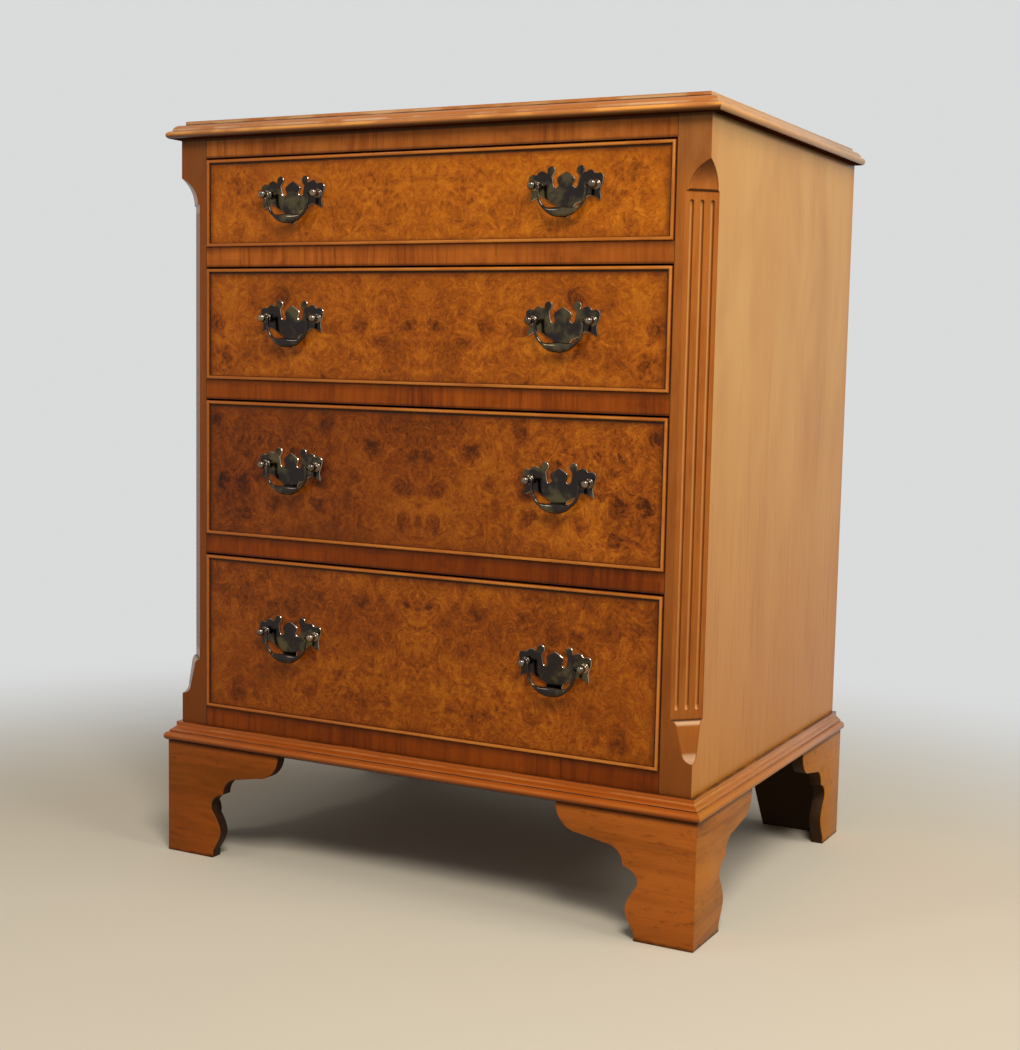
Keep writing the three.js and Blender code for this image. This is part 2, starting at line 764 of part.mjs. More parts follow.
function addCarcase(group) {
  addPiece(group, 'top_board', topBoard(), burrWalnut);
  addPiece(group, 'front_post_right', frontPostRight(), crossWalnut);
  addPiece(group, 'front_post_left', mirrored(frontPostRight()), crossWalnut);
  addPiece(group, 'side_panel_right', sidePanelRight(), sideWalnut);
  addPiece(group, 'side_panel_left', mirrored(sidePanelRight()), sideWalnut);
  addPiece(group, 'back_panel', backPanel(), carcaseTimber);
  addPiece(group, 'top_rail', rail(railDepth, topRailFloor, caseTop), crossWalnut);
  for (let i = 0; i < drawerCount - 1; i++) {
    const runningLevel = drawerFloors[i] - runnerGap;
    const divider = rail(railDepth, runningLevel - dividerThickness, runningLevel);
    addPiece(group, `drawer_divider_${i + 1}`, divider, crossWalnut);
    addPiece(group, `dust_board_${i + 1}`, dustBoard(runningLevel, railDepth), carcaseTimber);
  }
  const bottomLevel = drawerFloors[drawerCount - 1] - runnerGap;
  addPiece(group, 'bottom_rail', rail(bottomRailDepth, footHeight, bottomLevel), crossWalnut);
  addPiece(group, 'bottom_board', dustBoard(bottomLevel, bottomRailDepth), carcaseTimber);
  addPiece(group, 'base_moulding_front', baseMouldingFront(), mouldingWalnut);
  addPiece(group, 'base_moulding_right', baseMouldingRight(), mouldingWalnut);
  addPiece(group, 'base_moulding_left', mirrored(baseMouldingRight()), mouldingWalnut);
}

function addFeet(group) {
  const edge = caseWidth / 2 + footReach;
  const inner = edge - footThickness;
  const front = -footReach;
  const frontInner = front + footThickness;
  const quarter = Math.PI / 2;
  const facing = bracket(frontLeg, true);
  const flank = bracket(sideLeg, true);
  const rear = bracket(rearLeg, false);
  const sideFront = front + jointGap;
  addPiece(group, 'foot_front_left_facing', facing, footWalnut, [-edge, frontInner, 0]);
  addPiece(group, 'foot_front_right_facing', mirrored(facing), footWalnut, [edge, frontInner, 0]);
  addPiece(group, 'foot_front_left_side', mirrored(flank), footWalnut, [-inner, sideFront, 0], -quarter);
  addPiece(group, 'foot_front_right_side', flank, footWalnut, [inner, sideFront, 0], quarter);
  addPiece(group, 'foot_rear_left_side', rear, footWalnut, [-inner, caseDepth, 0], -quarter);
  addPiece(group, 'foot_rear_right_side', mirrored(rear), footWalnut, [inner, caseDepth, 0], quarter);
  addPiece(group, 'foot_rear_left_back', backBracket(), carcaseTimber, [-edge, caseDepth, 0]);
  addPiece(group, 'foot_rear_right_back', mirrored(backBracket()), carcaseTimber, [edge, caseDepth, 0]);
}

const plateWithPosts = handlePlate();
const swingingBail = bail();

function addDrawer(group, index) {
  const name = `drawer_${index + 1}`;
  const height = drawerHeights[index];
  const drawer = new THREE.Group();
  drawer.position.z = drawerFloors[index];
  addPiece(drawer, `${name}_front`, drawerFront(height), burrWalnut);
  addPiece(drawer, `${name}_cockbead`, cockbead(height), beadWalnut);
  addPiece(drawer, `${name}_box`, drawerBox(height), drawerTimber);
  addPiece(drawer, `${name}_bottom`, drawerBottom(), drawerTimber);
  const boltLevel = height / 2 + handleLift;
  for (const [side, centre] of handleCentres()) {
    addPiece(drawer, `${name}_plate_${side}`, plateWithPosts, antiqueBrass, [centre, 0, boltLevel]);
    addPiece(drawer, `${name}_bail_${side}`, swingingBail, antiqueBrass, [centre, -ballReach, boltLevel]);
  }
  group.add(drawer);
}

const chest = new THREE.Group();
addCarcase(chest);
addFeet(chest);
for (let i = 0; i < drawerCount; i++) {
  addDrawer(chest, i);
}
chest.position.y = (baseReach - caseDepth) / 2;

export default chest;
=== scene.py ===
"""Bachelor's chest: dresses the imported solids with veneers, mouldings, feet and handles.

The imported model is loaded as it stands, in metres, with its front towards -Y. Plain boards keep
their solids and get a finish. Shaped pieces are modelled here and stand for their solids.
"""

import math
from contextlib import contextmanager

import bmesh
import bpy
from bpy.props import FloatProperty, FloatVectorProperty, IntProperty, PointerProperty
from bpy.types import Operator, Panel, PropertyGroup
from mathutils import Matrix, Vector


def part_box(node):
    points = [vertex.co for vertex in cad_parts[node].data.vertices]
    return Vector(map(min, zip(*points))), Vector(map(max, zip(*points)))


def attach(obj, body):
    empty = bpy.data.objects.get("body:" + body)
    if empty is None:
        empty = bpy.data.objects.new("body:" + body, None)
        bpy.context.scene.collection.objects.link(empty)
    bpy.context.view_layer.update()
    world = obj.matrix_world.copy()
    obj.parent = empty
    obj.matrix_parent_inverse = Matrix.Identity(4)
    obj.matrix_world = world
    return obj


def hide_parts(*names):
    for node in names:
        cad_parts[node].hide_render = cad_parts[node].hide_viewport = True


bl_info = {
    "name": "Bachelor's Chest",
    "version": (1, 0, 0),
    "blender": (4, 5, 0),
    "location": "View3D > Sidebar > Chest",
    "description": "Models the veneers, mouldings, feet and handles of a bachelor's chest",
    "category": "Object",
}

MM = 0.001

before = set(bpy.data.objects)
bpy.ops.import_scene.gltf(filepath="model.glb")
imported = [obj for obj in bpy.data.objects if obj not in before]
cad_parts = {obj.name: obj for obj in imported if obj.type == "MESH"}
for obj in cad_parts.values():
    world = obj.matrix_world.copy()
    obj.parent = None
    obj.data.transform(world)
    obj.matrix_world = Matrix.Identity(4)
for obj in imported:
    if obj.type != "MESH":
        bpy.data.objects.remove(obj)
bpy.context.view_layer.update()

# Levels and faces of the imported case
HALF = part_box("side_panel_right")[1].x
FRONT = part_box("top_rail")[0].y
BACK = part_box("back_panel")[1].y
CASE_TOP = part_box("top_rail")[1].z
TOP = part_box("top_board")[1].z
FOOT_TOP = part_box("base_moulding_front")[0].z
BASE_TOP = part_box("base_moulding_front")[1].z
POST_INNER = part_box("front_post_right")[0].x
POST_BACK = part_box("front_post_right")[1].y
DRAWERS = (1, 2, 3, 4)
SIDES = (("left", -1), ("right", 1))

# How strongly stain takes away red, green and blue
STAIN = (1.0, 1.4, 1.7)

# How far a moulding runs past its mitre before it is cut, and a cutter past what it cuts
RUN_OVER = 30 * MM
CUTTER_OVER = 6 * MM

# Share of the cockbead's width that is rounded over on each side
BEAD_ROUND_SHARE = 0.48

# A length too small to see, and the share of a diagonal that lies along each of its axes
HAIR = MM / 100
DIAGONAL_SHARE = math.sqrt(0.5)


def length(name, description, millimetres):
    """A length that a user may change, given in millimetres."""
    return FloatProperty(
        name=name, description=description, default=millimetres * MM, min=0, precision=4,
        unit="LENGTH",
    )


def colour(name, description, default):
    """A colour that a user may change."""
    return FloatVectorProperty(
        name=name, description=description, default=default, size=3, min=0, max=1, subtype="COLOR"
    )


class ChestSizes(PropertyGroup):
    """Sizes of the shaped pieces."""

    top_reach: length("Top reach", "How far the top stands out from the case", 12.5)
    top_bead: length("Top bead", "Radius of the bead under the top's edge", 3.9)
    top_quirk: length("Top quirk", "Depth of the groove over the bead", 1.3)
    top_ovolo_width: length("Top ovolo width", "Width of the ovolo of the top", 6)
    top_ovolo_height: length("Top ovolo height", "Height of the ovolo of the top", 6.6)
    top_step: length("Top step", "Step between ovolo and fillet", 4.2)
    top_edge: length("Top edging", "Depth of the mitred edging round the top", 12)
    top_border: length("Top border", "From the case's edge to the line round the top", 48)
    panel_ease: length("Panel easing", "Softening of the edges of the top's panel", 0.15)
    moulding_ease: length("Moulding easing", "Softening of the edges of mouldings", 0.4)
    base_reach: length("Base reach", "How far the base moulding stands out", 15)
    base_bead: length("Base bead", "Radius of the bead of the base moulding", 4.7)
    base_quirk: length("Base quirk", "Height of the groove over the bead", 1.8)
    base_cove: length("Base cove", "Height of the cove of the base moulding", 4.6)
    base_fillet: length("Base fillet", "How far the fillet stands out", 4.8)
    cant: length("Cant", "Width of the canted corner on each face", 24)
    scoop_drop: length("Scoop drop", "From the case top down to the scoop", 41)
    scoop_height: length("Scoop height", "Height of the scoop over the cant", 27.5)
    scoop_end: length("Scoop end", "Width of the scoop at its foot", 21.5)
    point_rise: length("Stop rise", "From the base moulding up to the lower stop", 31.8)
    bowl_height: length("Bowl height", "Height of the lower bowl", 10)
    bowl_width: length("Bowl width", "Width of the lower bowl", 11.3)
    tongue_height: length("Tongue height", "Height of the tapering tongue", 23)
    tongue_width: length("Tongue width", "Width of the tongue at its head", 17)
    cove_height: length("Cove height", "Height of the cove under the cant", 6.7)
    flute_radius: length("Flute radius", "Radius of a flute", 2)
    flute_spacing: length("Flute spacing", "Distance between flutes", 10.4)
    flute_head: length("Flute head", "Cant left over the flutes", 7.5)
    flute_foot: length("Flute foot", "Cant left under the flutes", 9.5)
    ledge: length("Ledge", "Step under the scoop", 1)
    foot_thickness: length("Foot thickness", "Thickness of a bracket", 14)
    foot_reach: length("Foot reach", "How far the feet stand out from the case", 11)
    leg_front: length("Front leg", "Width of a front leg, seen from the front", 61.5)
    leg_side: length("Side leg", "Width of a front leg, seen from the side", 68)
    leg_rear: length("Rear leg", "Width of a rear leg, seen from the side", 56)
    foot_ankle: length("Ankle", "Straight height at the foot of a leg", 8)
    foot_swell: length("Swell", "How far a leg swells out", 10)
    foot_cusp: length("Cusp", "From a leg to its cusp", 13.5)
    foot_cusp_drop: length("Cusp drop", "From the base moulding down to a cusp", 52.5)
    foot_cove: length("Foot cove", "Radius of the cove over a cusp", 19.5)
    foot_wing: length("Wing", "From a leg to the end of its wing", 86)
    foot_wing_round: length("Wing round", "Radius of a wing's end", 26)
    foot_wing_drop: length("Wing drop", "From the base moulding down to a wing", 28)
    ease: length("Eased edge", "Softening of the sawn edges", 0.7)
    bead_width: length("Cockbead width", "Width of the cockbead", 3.5)
    post_spacing: length("Post spacing", "Distance between the posts of a handle", 64)
    plate_half: length("Plate half width", "Half the width of a handle plate", 39.6)
    plate_height: length("Plate height", "Height of a handle plate", 49.4)
    plate_thickness: length("Plate thickness", "Thickness of a handle plate", 1.5)
    plate_chamfer: length("Plate chamfer", "Chamfer round the face of a plate", 0.5)
    finial_place: length("Finial place", "From a plate's middle to its finials", 15.4)
    finial_rise: length("Finial rise", "From the posts up to the middle of a finial", 14.2)
    finial_radius: length("Finial radius", "Radius of a finial", 4.2)
    bolt_radius: length("Bolt radius", "Radius of a bolt", 2)
    bolt_length: length("Bolt length", "From the drawer front back to a bolt's end", 25.5)
    bolt_tip: length("Bolt tip", "Chamfer at the end of a bolt", 0.5)
    nut_radius: length("Nut radius", "Radius of a nut", 5)
    nut_place: length("Nut place", "From the drawer front back to a nut", 20)
    nut_thickness: length("Nut thickness", "Thickness of a nut", 3.5)
    nut_easing: length("Nut easing", "Easing of a nut's front edge, half that of its back", 0.4)
    ball_reach: length("Ball reach", "From the drawer front to the ball's middle", 10)
    ball_radius: length("Ball radius", "Radius of a ball post", 4.4)
    bail_half: length("Bail half width", "Half the width of a bail", 25.2)
    bail_drop: length("Bail drop", "From the posts down to the grip", 25.5)
    bail_arm: length("Bail arm", "Radius of a bail's arm", 1.6)
    bail_eye: length("Bail eye", "Radius of the eye at the end of an arm", 2.3)
    eye_cheek: length("Eye cheek", "How far an eye stands out past the arm's line", 0.6)
    eye_drop: length("Eye drop", "How far an arm starts under its eye's middle", 0.4)
    bail_pin: length("Bail pin", "Radius of the pin at the end of a bail", 1.3)
    pin_length: length("Pin length", "How far a pin stands into its ball", 5.4)
    grip_reach: length("Grip reach", "From a grip's middle to its end", 17)
    grip_height: length("Grip height", "Half the height of a grip", 5)
    grip_depth: length("Grip depth", "Half the depth of a grip", 3.3)
    bail_round: FloatProperty(
        name="Bail roundness", description="Squareness of a bail's curve", default=2.8, min=2, max=6
    )
    steps: IntProperty(
        name="Curve steps", description="Steps round a quarter of a curve", default=8, min=3, max=24
    )


class ChestFinishes(PropertyGroup):
    """Colours of the finishes."""

    burr_dark: colour("Burr dark", "Swirls and eyes of the burr veneer", (0.11, 0.019, 0.001))
    burr_mid: colour("Burr middle", "Ground of the burr veneer", (0.39, 0.094, 0.004))
    burr_light: colour("Burr light", "Light flames of the burr veneer", (0.66, 0.215, 0.011))
    cross_dark: colour("Cross-grain dark", "Streaks of the cross-grained veneer", (0.17, 0.026, 0.002))
    cross_light: colour("Cross-grain light", "Ground of the cross-grained veneer", (0.47, 0.108, 0.006))
    side_dark: colour("Side dark", "Dark grain of the side veneer", (0.43, 0.183, 0.038))
    side_light: colour("Side light", "Light grain of the side veneer", (0.605, 0.313, 0.08))
    side_low: colour("Side low", "Side veneer towards the floor", (0.46, 0.152, 0.006))
    moulding_dark: colour("Moulding dark", "Dark grain of the mouldings", (0.22, 0.042, 0.004))
    moulding_light: colour("Moulding light", "Light grain of the mouldings", (0.52, 0.155, 0.014))
    bead_dark: colour("Cockbead dark", "Dark grain of the cockbeads", (0.36, 0.085, 0.006))
    bead_light: colour("Cockbead light", "Light grain of the cockbeads", (0.60, 0.185, 0.016))
    foot_dark: colour("Foot dark", "Dark grain of the feet", (0.16, 0.040, 0.005))
    foot_light: colour("Foot light", "Light grain of the feet", (0.41, 0.108, 0.015))
    timber_dark: colour("Lining dark", "Dark grain of the drawer linings", (0.30, 0.16, 0.07))
    timber_light: colour("Lining light", "Light grain of the drawer linings", (0.52, 0.33, 0.17))
    carcase_dark: colour("Carcase dark", "Dark grain of the inner boards", (0.07, 0.035, 0.018))
    carcase_light: colour("Carcase light", "Light grain of the inner boards", (0.17, 0.09, 0.045))
    brass_dark: colour("Brass dark", "Darkened brass", (0.034, 0.027, 0.025))
    brass_olive: colour("Brass olive", "Olive tarnish", (0.105, 0.082, 0.038))
    brass_worn: colour("Brass worn", "Worn brass on edges and balls", (0.50, 0.40, 0.29))
    # Rubbed polish also serves as painted highlight: in the flutes of the posts and on the base
    # moulding.
    rubbed: colour("Rubbed", "Old polish rubbed pale on edges and in flutes", (0.70, 0.35, 0.12))
    # Painted highlight: pale, on the cove and bowl of the posts' lower stops and on the ovolo of the
    # top.
    bare: colour("Bare", "Timber bare of polish in the stops of the posts", (0.68, 0.44, 0.26))
    base_red: colour("Base red", "Reddish walnut of the base moulding", (0.375, 0.080, 0.006))
    tan: colour("Tan", "Faded polish on the upper edge of the top", (0.54, 0.31, 0.135))
    crown: colour("Crown", "Faded brown of the posts under the top", (0.31, 0.125, 0.038))
    post_foot: colour("Post foot", "Brown at the foot of the posts", (0.20, 0.052, 0.008))
    # Painted highlight: golden, on the beads of the mouldings and the crest of the cockbeads.
    golden: colour("Golden", "Golden polish on the rounds of the mouldings", (0.72, 0.30, 0.055))
    polish: colour("Polish", "Tint of the old polish", (1.0, 0.72, 0.42))
    # Grime also serves as painted shade: in grooves, flutes and quirks, under the top and the
    # mouldings, and along the cockbeads.
    grime: colour("Grime", "Old dirt in grooves and on sawn edges", (0.010, 0.005, 0.003))
    floor: colour("Floor", "Floor", (0.635, 0.56, 0.43))
    backdrop: colour("Backdrop", "Backdrop", (0.70, 0.71, 0.71))


def sizes():
    return bpy.context.scene.chest_sizes


def finishes():
    return bpy.context.scene.chest_finishes


# Shader nodes


class Value:
    """One output of a material's nodes. Sums, products and quotients of values add Math nodes."""

    def __init__(self, finish, socket):
        self.finish = finish
        self.socket = socket

    def math(self, operation, *others):
        return self.finish.node(
            "ShaderNodeMath", {"operation": operation}, dict(enumerate((self, *others)))
        )

    def __add__(self, other):
        return self.math("ADD", other)

    def __sub__(self, other):
        return self.math("SUBTRACT", other)

    def __mul__(self, other):
        return self.math("MULTIPLY", other)

    def __truediv__(self, other):
        return self.math("DIVIDE", other)

    def __rsub__(self, other):
        return self.finish.node("ShaderNodeMath", {"operation": "SUBTRACT"}, {0: other, 1: self})

    __radd__ = __add__

    def least(self, other):
        return self.math("MINIMUM", other)

    def most(self, other):
        return self.math("MAXIMUM", other)

    def size(self):
        return self.math("ABSOLUTE")

    def above(self, low, high):
        """0 below low, 1 above high, and smooth between them. Low may be the higher one."""
        settings = {"interpolation_type": "SMOOTHSTEP"}
        low_first = low < high
        stops = (low, high, 0.0, 1.0) if low_first else (high, low, 1.0, 0.0)
        sockets = dict(zip(("From Min", "From Max", "To Min", "To Max"), stops))
        return self.finish.node("ShaderNodeMapRange", settings, {"Value": self, **sockets})


class Finish:
    """A material with one glossy shader, and the means to add nodes to it."""

    def __init__(self, name, roughness, gloss=0.4, metallic=0.0):
        self.material = bpy.data.materials.new(name)
        self.material.use_nodes = True
        self.tree = self.material.node_tree
        self.shader = next(n for n in self.tree.nodes if n.type == "BSDF_PRINCIPLED")
        self.shader.inputs["Roughness"].default_value = roughness
        self.shader.inputs["Metallic"].default_value = metallic
        if not metallic:
            self.shader.inputs["Specular IOR Level"].default_value = gloss
            self.shader.inputs["Specular Tint"].default_value = (*finishes().polish, 1)
        places = self.tree.nodes.new("ShaderNodeTexCoord")
        self.place = Value(self, places.outputs["Object"])
        self.base = None

    def fill(self, socket, value):
        if isinstance(value, Value):
            self.tree.links.new(value.socket, socket)
        elif hasattr(socket.default_value, "__len__") and len(socket.default_value) == 4:
            socket.default_value = (*value, 1.0)
        else:
            socket.default_value = value

    def node(self, kind, settings, sockets, output=0):
        """Adds a node: its settings come first, then the values or links of its sockets."""
        node = self.tree.nodes.new(kind)
        for key, value in settings.items():
            if key == "stops":
                ramp = node.color_ramp.elements
                while len(ramp) < len(value):
                    ramp.new(1.0)
                for stop, (at, shade) in zip(ramp, value):
                    stop.position = at
                    stop.color = (*shade, 1.0)
            else:
                setattr(node, key, value)
        for key, value in sockets.items():
            self.fill(node.inputs[key], value)
        return Value(self, node.outputs[output])

    def axes(self, place=None):
        """The three parts of a place."""
        parts = self.node("ShaderNodeSeparateXYZ", {}, {0: place or self.place})
        return [Value(self, out) for out in parts.socket.node.outputs]

    def moved(self, place, offset):
        return self.node("ShaderNodeVectorMath", {"operation": "ADD"}, {0: place, 1: offset})

    def scaled(self, place, factors, offset=(0, 0, 0)):
        """The place stretched along each axis, for streaks, and shifted."""
        sockets = {"Vector": place, "Scale": factors, "Location": offset}
        return self.node("ShaderNodeMapping", {}, sockets)

    def noise(self, place, scale, detail=2.0, rough=0.5, distortion=0.0):
        sockets = {
            "Vector": place, "Scale": scale, "Detail": detail, "Roughness": rough,
            "Distortion": distortion,
        }
        return self.node("ShaderNodeTexNoise", {}, sockets)

    def drift(self, place, scale, reach, detail=2.0):
        """The place pushed about by a noise, so that what is drawn on it curls."""
        sockets = {"Vector": place, "Scale": scale, "Detail": detail}
        noise = self.node("ShaderNodeTexNoise", {}, sockets, "Color")
        centred = self.node(
            "ShaderNodeVectorMath", {"operation": "SUBTRACT"}, {0: noise, 1: (0.5, 0.5, 0.5)}
        )
        push = self.node(
            "ShaderNodeVectorMath", {"operation": "SCALE"}, {0: centred, "Scale": 2 * reach}
        )
        return self.moved(place, push)

    def cells(self, place, scale):
        """Flat cells: the distance from the middle of each, its random colour and its middle."""
        settings = {"voronoi_dimensions": "2D"}
        sockets = {"Vector": place, "Scale": scale, "Randomness": 1.0}
        first = self.node("ShaderNodeTexVoronoi", settings, sockets, "Distance")
        outputs = first.socket.node.outputs
        return [Value(self, outputs[key]) for key in ("Distance", "Color", "Position")]

    def mix(self, share, first, second, blend="MIX"):
        """Two colours mixed by a share."""
        settings = {"data_type": "RGBA", "blend_type": blend}
        return self.node("ShaderNodeMix", settings, {0: share, 6: first, 7: second}, 2)

    def lay(self, share, tint, blend="MIX"):
        """Lays a tint over the colour so far, by a share."""
        self.base = self.mix(share, self.base, tint, blend)

    def ramp(self, value, stops):
        """Colours for values between stops, each a value and its colour."""
        return self.node("ShaderNodeValToRGB", {"stops": stops}, {0: value})

    def bump(self, height, strength, distance):
        sockets = {"Height": height, "Strength": strength, "Distance": distance}
        return self.node("ShaderNodeBump", {}, sockets)

    def set(self, **inputs):
        """Links the colour and, where given, the roughness and the normal to the shader."""
        self.fill(self.shader.inputs["Base Color"], self.base)
        for key, value in inputs.items():
            self.fill(self.shader.inputs[key.capitalize()], value)
        return self.material


def blend_of(first, second, share):
    """A colour between two others, worked out here and not by nodes."""
    return tuple(a + (b - a) * share for a, b in zip(first, second))


def stained(colour, depth):
    """A colour deepened by stain, which takes least of its red, or paler when depth is negative."""
    return tuple(c * (1 - depth) ** power for c, power in zip(colour, STAIN))


# Finishes


def burr_pattern(f, place, seed, deeper, eyed, contrast):
    """Colour and figure of burr veneer: flames that swirl round soft dark eyes, and fine flecks.

    The seed picks a part of the pattern, deeper is its stain, and eyed the strength of its eyes.
    """
    shade = finishes()
    dark = stained(shade.burr_dark, deeper * 1.25)
    mid = stained(shade.burr_mid, deeper)
    light = stained(shade.burr_light, deeper * 0.8)
    moved = f.scaled(place, (1, 1, 1), (seed * 1.7, seed * 0.9, seed * 2.3))
    frayed = f.drift(f.drift(moved, 24, 10 * MM, 3), 110, 3 * MM, 3)
    eyes, colours, middles = f.cells(frayed, 31)
    chosen, strength, way = f.axes(colours)
    crowd = f.noise(moved, 9, 2) * 2 - 1
    picked = (chosen + crowd).above(0.3, 0.5) * (strength * 0.6 + 0.4) * eyed
    turn = eyes.above(0.6, 0.0) * (way * 4 - 2)
    whirled = f.node(
        "ShaderNodeVectorRotate", {"rotation_type": "Z_AXIS"},
        {"Vector": frayed, "Center": middles, "Angle": turn},
    )
    eye = (eyes + f.noise(whirled, 120, 4) * 0.36 - 0.18).above(0.42, 0.12) * picked
    halo = eyes.above(0.36, 0.46) * eyes.above(0.62, 0.5) * picked
    clouds = f.noise(f.drift(moved, 9, 40 * MM), 13, 4, 0.6, 0.5) - 0.5
    flames = f.noise(f.drift(whirled, 34, 14 * MM, 3), 62, 6, 0.7, 1.2) - 0.5
    mottle = f.noise(f.drift(whirled, 90, 6 * MM), 200, 5, 0.74, 0.8) - 0.5
    flecks = f.noise(moved, 420, 3, 0.7) - 0.5
    curled = f.drift(whirled, 40, 10 * MM)
    veins = (f.noise(curled, 34, 2, 0.5, 0.6) - 0.5).size().above(0.04, 0.0)
    vein_share = f.noise(f.moved(moved, (1, 2, 3)), 20, 2).above(0.48, 0.64)
    pips, _, _ = f.cells(f.drift(moved, 120, 3 * MM, 3), 105)
    pip_share = f.noise(moved, 15, 3).above(0.5, 0.62).most(eye * 0.8)
    tone = (clouds * 0.7 + flames + mottle * 0.85 + flecks * 0.4) * contrast + 0.53
    tone = tone + veins * vein_share * 0.1 + halo * 0.05 - eye * 0.27
    tone = tone - pips.above(0.42, 0.1) * pip_share * 0.12
    base = f.ramp(
        tone,
        [(0.16, stained(dark, 0.35)), (0.34, blend_of(dark, mid, 0.4)), (0.52, mid),
         (0.68, blend_of(mid, light, 0.5)), (0.86, light)],
    )
    warm = f.noise(moved, 7, 2).above(0.45, 0.7)
    base = f.mix(warm * 0.25, base, blend_of(dark, mid, 0.75))
    return base, tone


def matched(f, both):
    """A place on the face of matched leaves of veneer: two across the front, or four on the top."""
    x, y, z = f.axes(f.drift(f.place, 11, 3 * MM))
    leaf = {0: x.size(), 1: y.size(), 2: z} if both else {0: x.size(), 1: z, 2: y}
    return f.node("ShaderNodeCombineXYZ", {}, leaf)


# Of each drawer front: stain, strength of the eyes, contrast, and painted shade added towards the left
FRONTS = {
    1: (-0.02, 0.3, 0.74, 0.14),
    2: (0.15, 0.65, 0.86, 0.12),
    3: (0.25, 1.0, 1.05, 0.48),
    4: (0.30, 0.5, 0.95, 0.2),
}


def burr_front(name, number):
    """Burr veneer of one drawer front, with a darker glaze towards its cockbead, painted shade just
    inside the bead along its top and sides, and painted shade towards the left.
    """
    low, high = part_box(f"drawer_{number}_front")
    shade = finishes()
    f = Finish(name, 0.3, gloss=0.27)
    deeper, eyed, contrast, shade_leftwards = FRONTS[number]
    f.base, tone = burr_pattern(f, matched(f, False), number, deeper, eyed, contrast)
    x, y, z = f.axes()
    # Painted shade: the front darker towards the left, away from the light.
    f.lay(x.above(240 * MM, -200 * MM), stained((1, 1, 1), shade_leftwards), "MULTIPLY")
    across = (x.size() - high.x) * -1
    # The bottom edge is moved down so that the painted shade inside the bead falls only under its top
    # and along its sides.
    down = (z - low.z + 3.5 * MM).least(high.z - z - 0.8 * MM)
    edge = across.least(down)
    rim = edge + f.noise(f.place, 30, 3) * (14 * MM)
    glaze = rim.above(24 * MM, 7 * MM)
    glazed = stained(blend_of(shade.burr_dark, shade.burr_mid, 0.25), deeper)
    f.lay(glaze * 0.5, glazed)
    # Painted shade: a dark band just inside the bead.
    band = (edge + f.noise(f.place, 60, 2) * (3 * MM)).above(11.5 * MM, 6 * MM)
    f.lay(band * 0.5, stained(glazed, 0.55))
    # Painted shadow: a darker line where the bead stands over the veneer.
    joint = (edge + f.noise(f.place, 90, 2) * (1.2 * MM)).above(6.4 * MM, 4.4 * MM)
    f.lay(joint * 0.9, shade.grime)
    core = blend_of(shade.timber_dark, shade.carcase_light, 0.3)
    f.lay(y.above(low.y + 0.4 * MM, low.y + MM), core)
    pores = f.noise(f.scaled(f.place, (1, 1, 0.4)), 900, 2)
    return f.set(
        roughness=0.22 + pores * 0.14 + glaze * 0.08,
        normal=f.bump(tone * 0.6 + pores * 0.4, 0.12, 0.6 * MM),
    )


def grain_pattern(f, along, dark, light, figure=1.0, fine=1.0):
    """Straight grain along one axis (0, 1 or 2), with its broad figure and its fine lines."""
    stretch = [1.0, 1.0, 1.0]
    stretch[along] = 0.05
    drifted = f.drift(f.place, 5, 12 * MM)
    lines = f.noise(f.scaled(drifted, stretch), 150, 5, 0.62) - 0.5
    stretch[along] = 0.1
    bands = f.noise(f.scaled(drifted, stretch), 24, 3, 0.5, 0.4) - 0.5
    stretch[along] = 0.03
    pores = f.noise(f.scaled(f.place, stretch), 800, 3, 0.6)
    clouds = f.noise(f.place, 5, 3) - 0.5
    tone = lines * 0.75 * fine + bands * 0.8 * figure + clouds * 0.5 * figure + pores * 0.35 * fine
    base = f.ramp(
        tone + 0.5 - 0.175 * fine,
        [(0.2, dark), (0.5, blend_of(dark, light, 0.6)), (0.8, light)],
    )
    return base, pores


def straight_grain(name, dark, light, along, roughness, gloss):
    """A plain board with straight grain."""
    f = Finish(name, roughness, gloss)
    f.base, pores = grain_pattern(f, along, dark, light)
    return f.set(
        roughness=roughness - 0.05 + pores * 0.12, normal=f.bump(pores, 0.1, 0.4 * MM)
    )


def bead_finish():
    """Polished cockbead, with a golden painted highlight along its crest, stronger to the right, and
    painted shade down its sides and towards the left.
    """
    shade = finishes()
    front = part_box("drawer_1_cockbead")[0].y
    f = Finish("cockbead", 0.17, gloss=0.45)
    dark, light = stained(shade.bead_dark, 0.3), stained(shade.bead_light, 0.25)
    f.base, pores = grain_pattern(f, 0, dark, light, 0.7, 0.7)
    x, y, _ = f.axes()
    # Painted shade: darker towards the left.
    f.lay(x.above(200 * MM, -200 * MM), stained((1, 1, 1), 0.14), "MULTIPLY")
    # Patches of painted highlight along the crest, stronger to the right.
    worn = f.noise(f.place, 22, 3).above(0.3, 0.6) * x.above(-300 * MM, 100 * MM)
    f.lay(y.above(front + 0.6 * MM, front + 0.1 * MM) * (worn * 0.35 + 0.05), shade.golden)
    # Painted shade down the sides of the bead.
    sides = y.above(front + 0.6 * MM, front + 1.8 * MM) * 0.8
    f.lay(sides, blend_of(shade.cross_dark, shade.grime, 0.5))
    return f.set(roughness=0.14 + pores * 0.07)


def post_levels():
    """Levels on a post: point, bowl and tongue of the lower stop, foot of the cant, the scoop."""
    s = sizes()
    point = BASE_TOP + s.point_rise
    bowl_top = point + s.bowl_height
    tongue_top = bowl_top + s.tongue_height
    cant_foot = tongue_top + s.cove_height
    scoop_top = CASE_TOP - s.scoop_drop
    return point, bowl_top, tongue_top, cant_foot, scoop_top - s.scoop_height, scoop_top


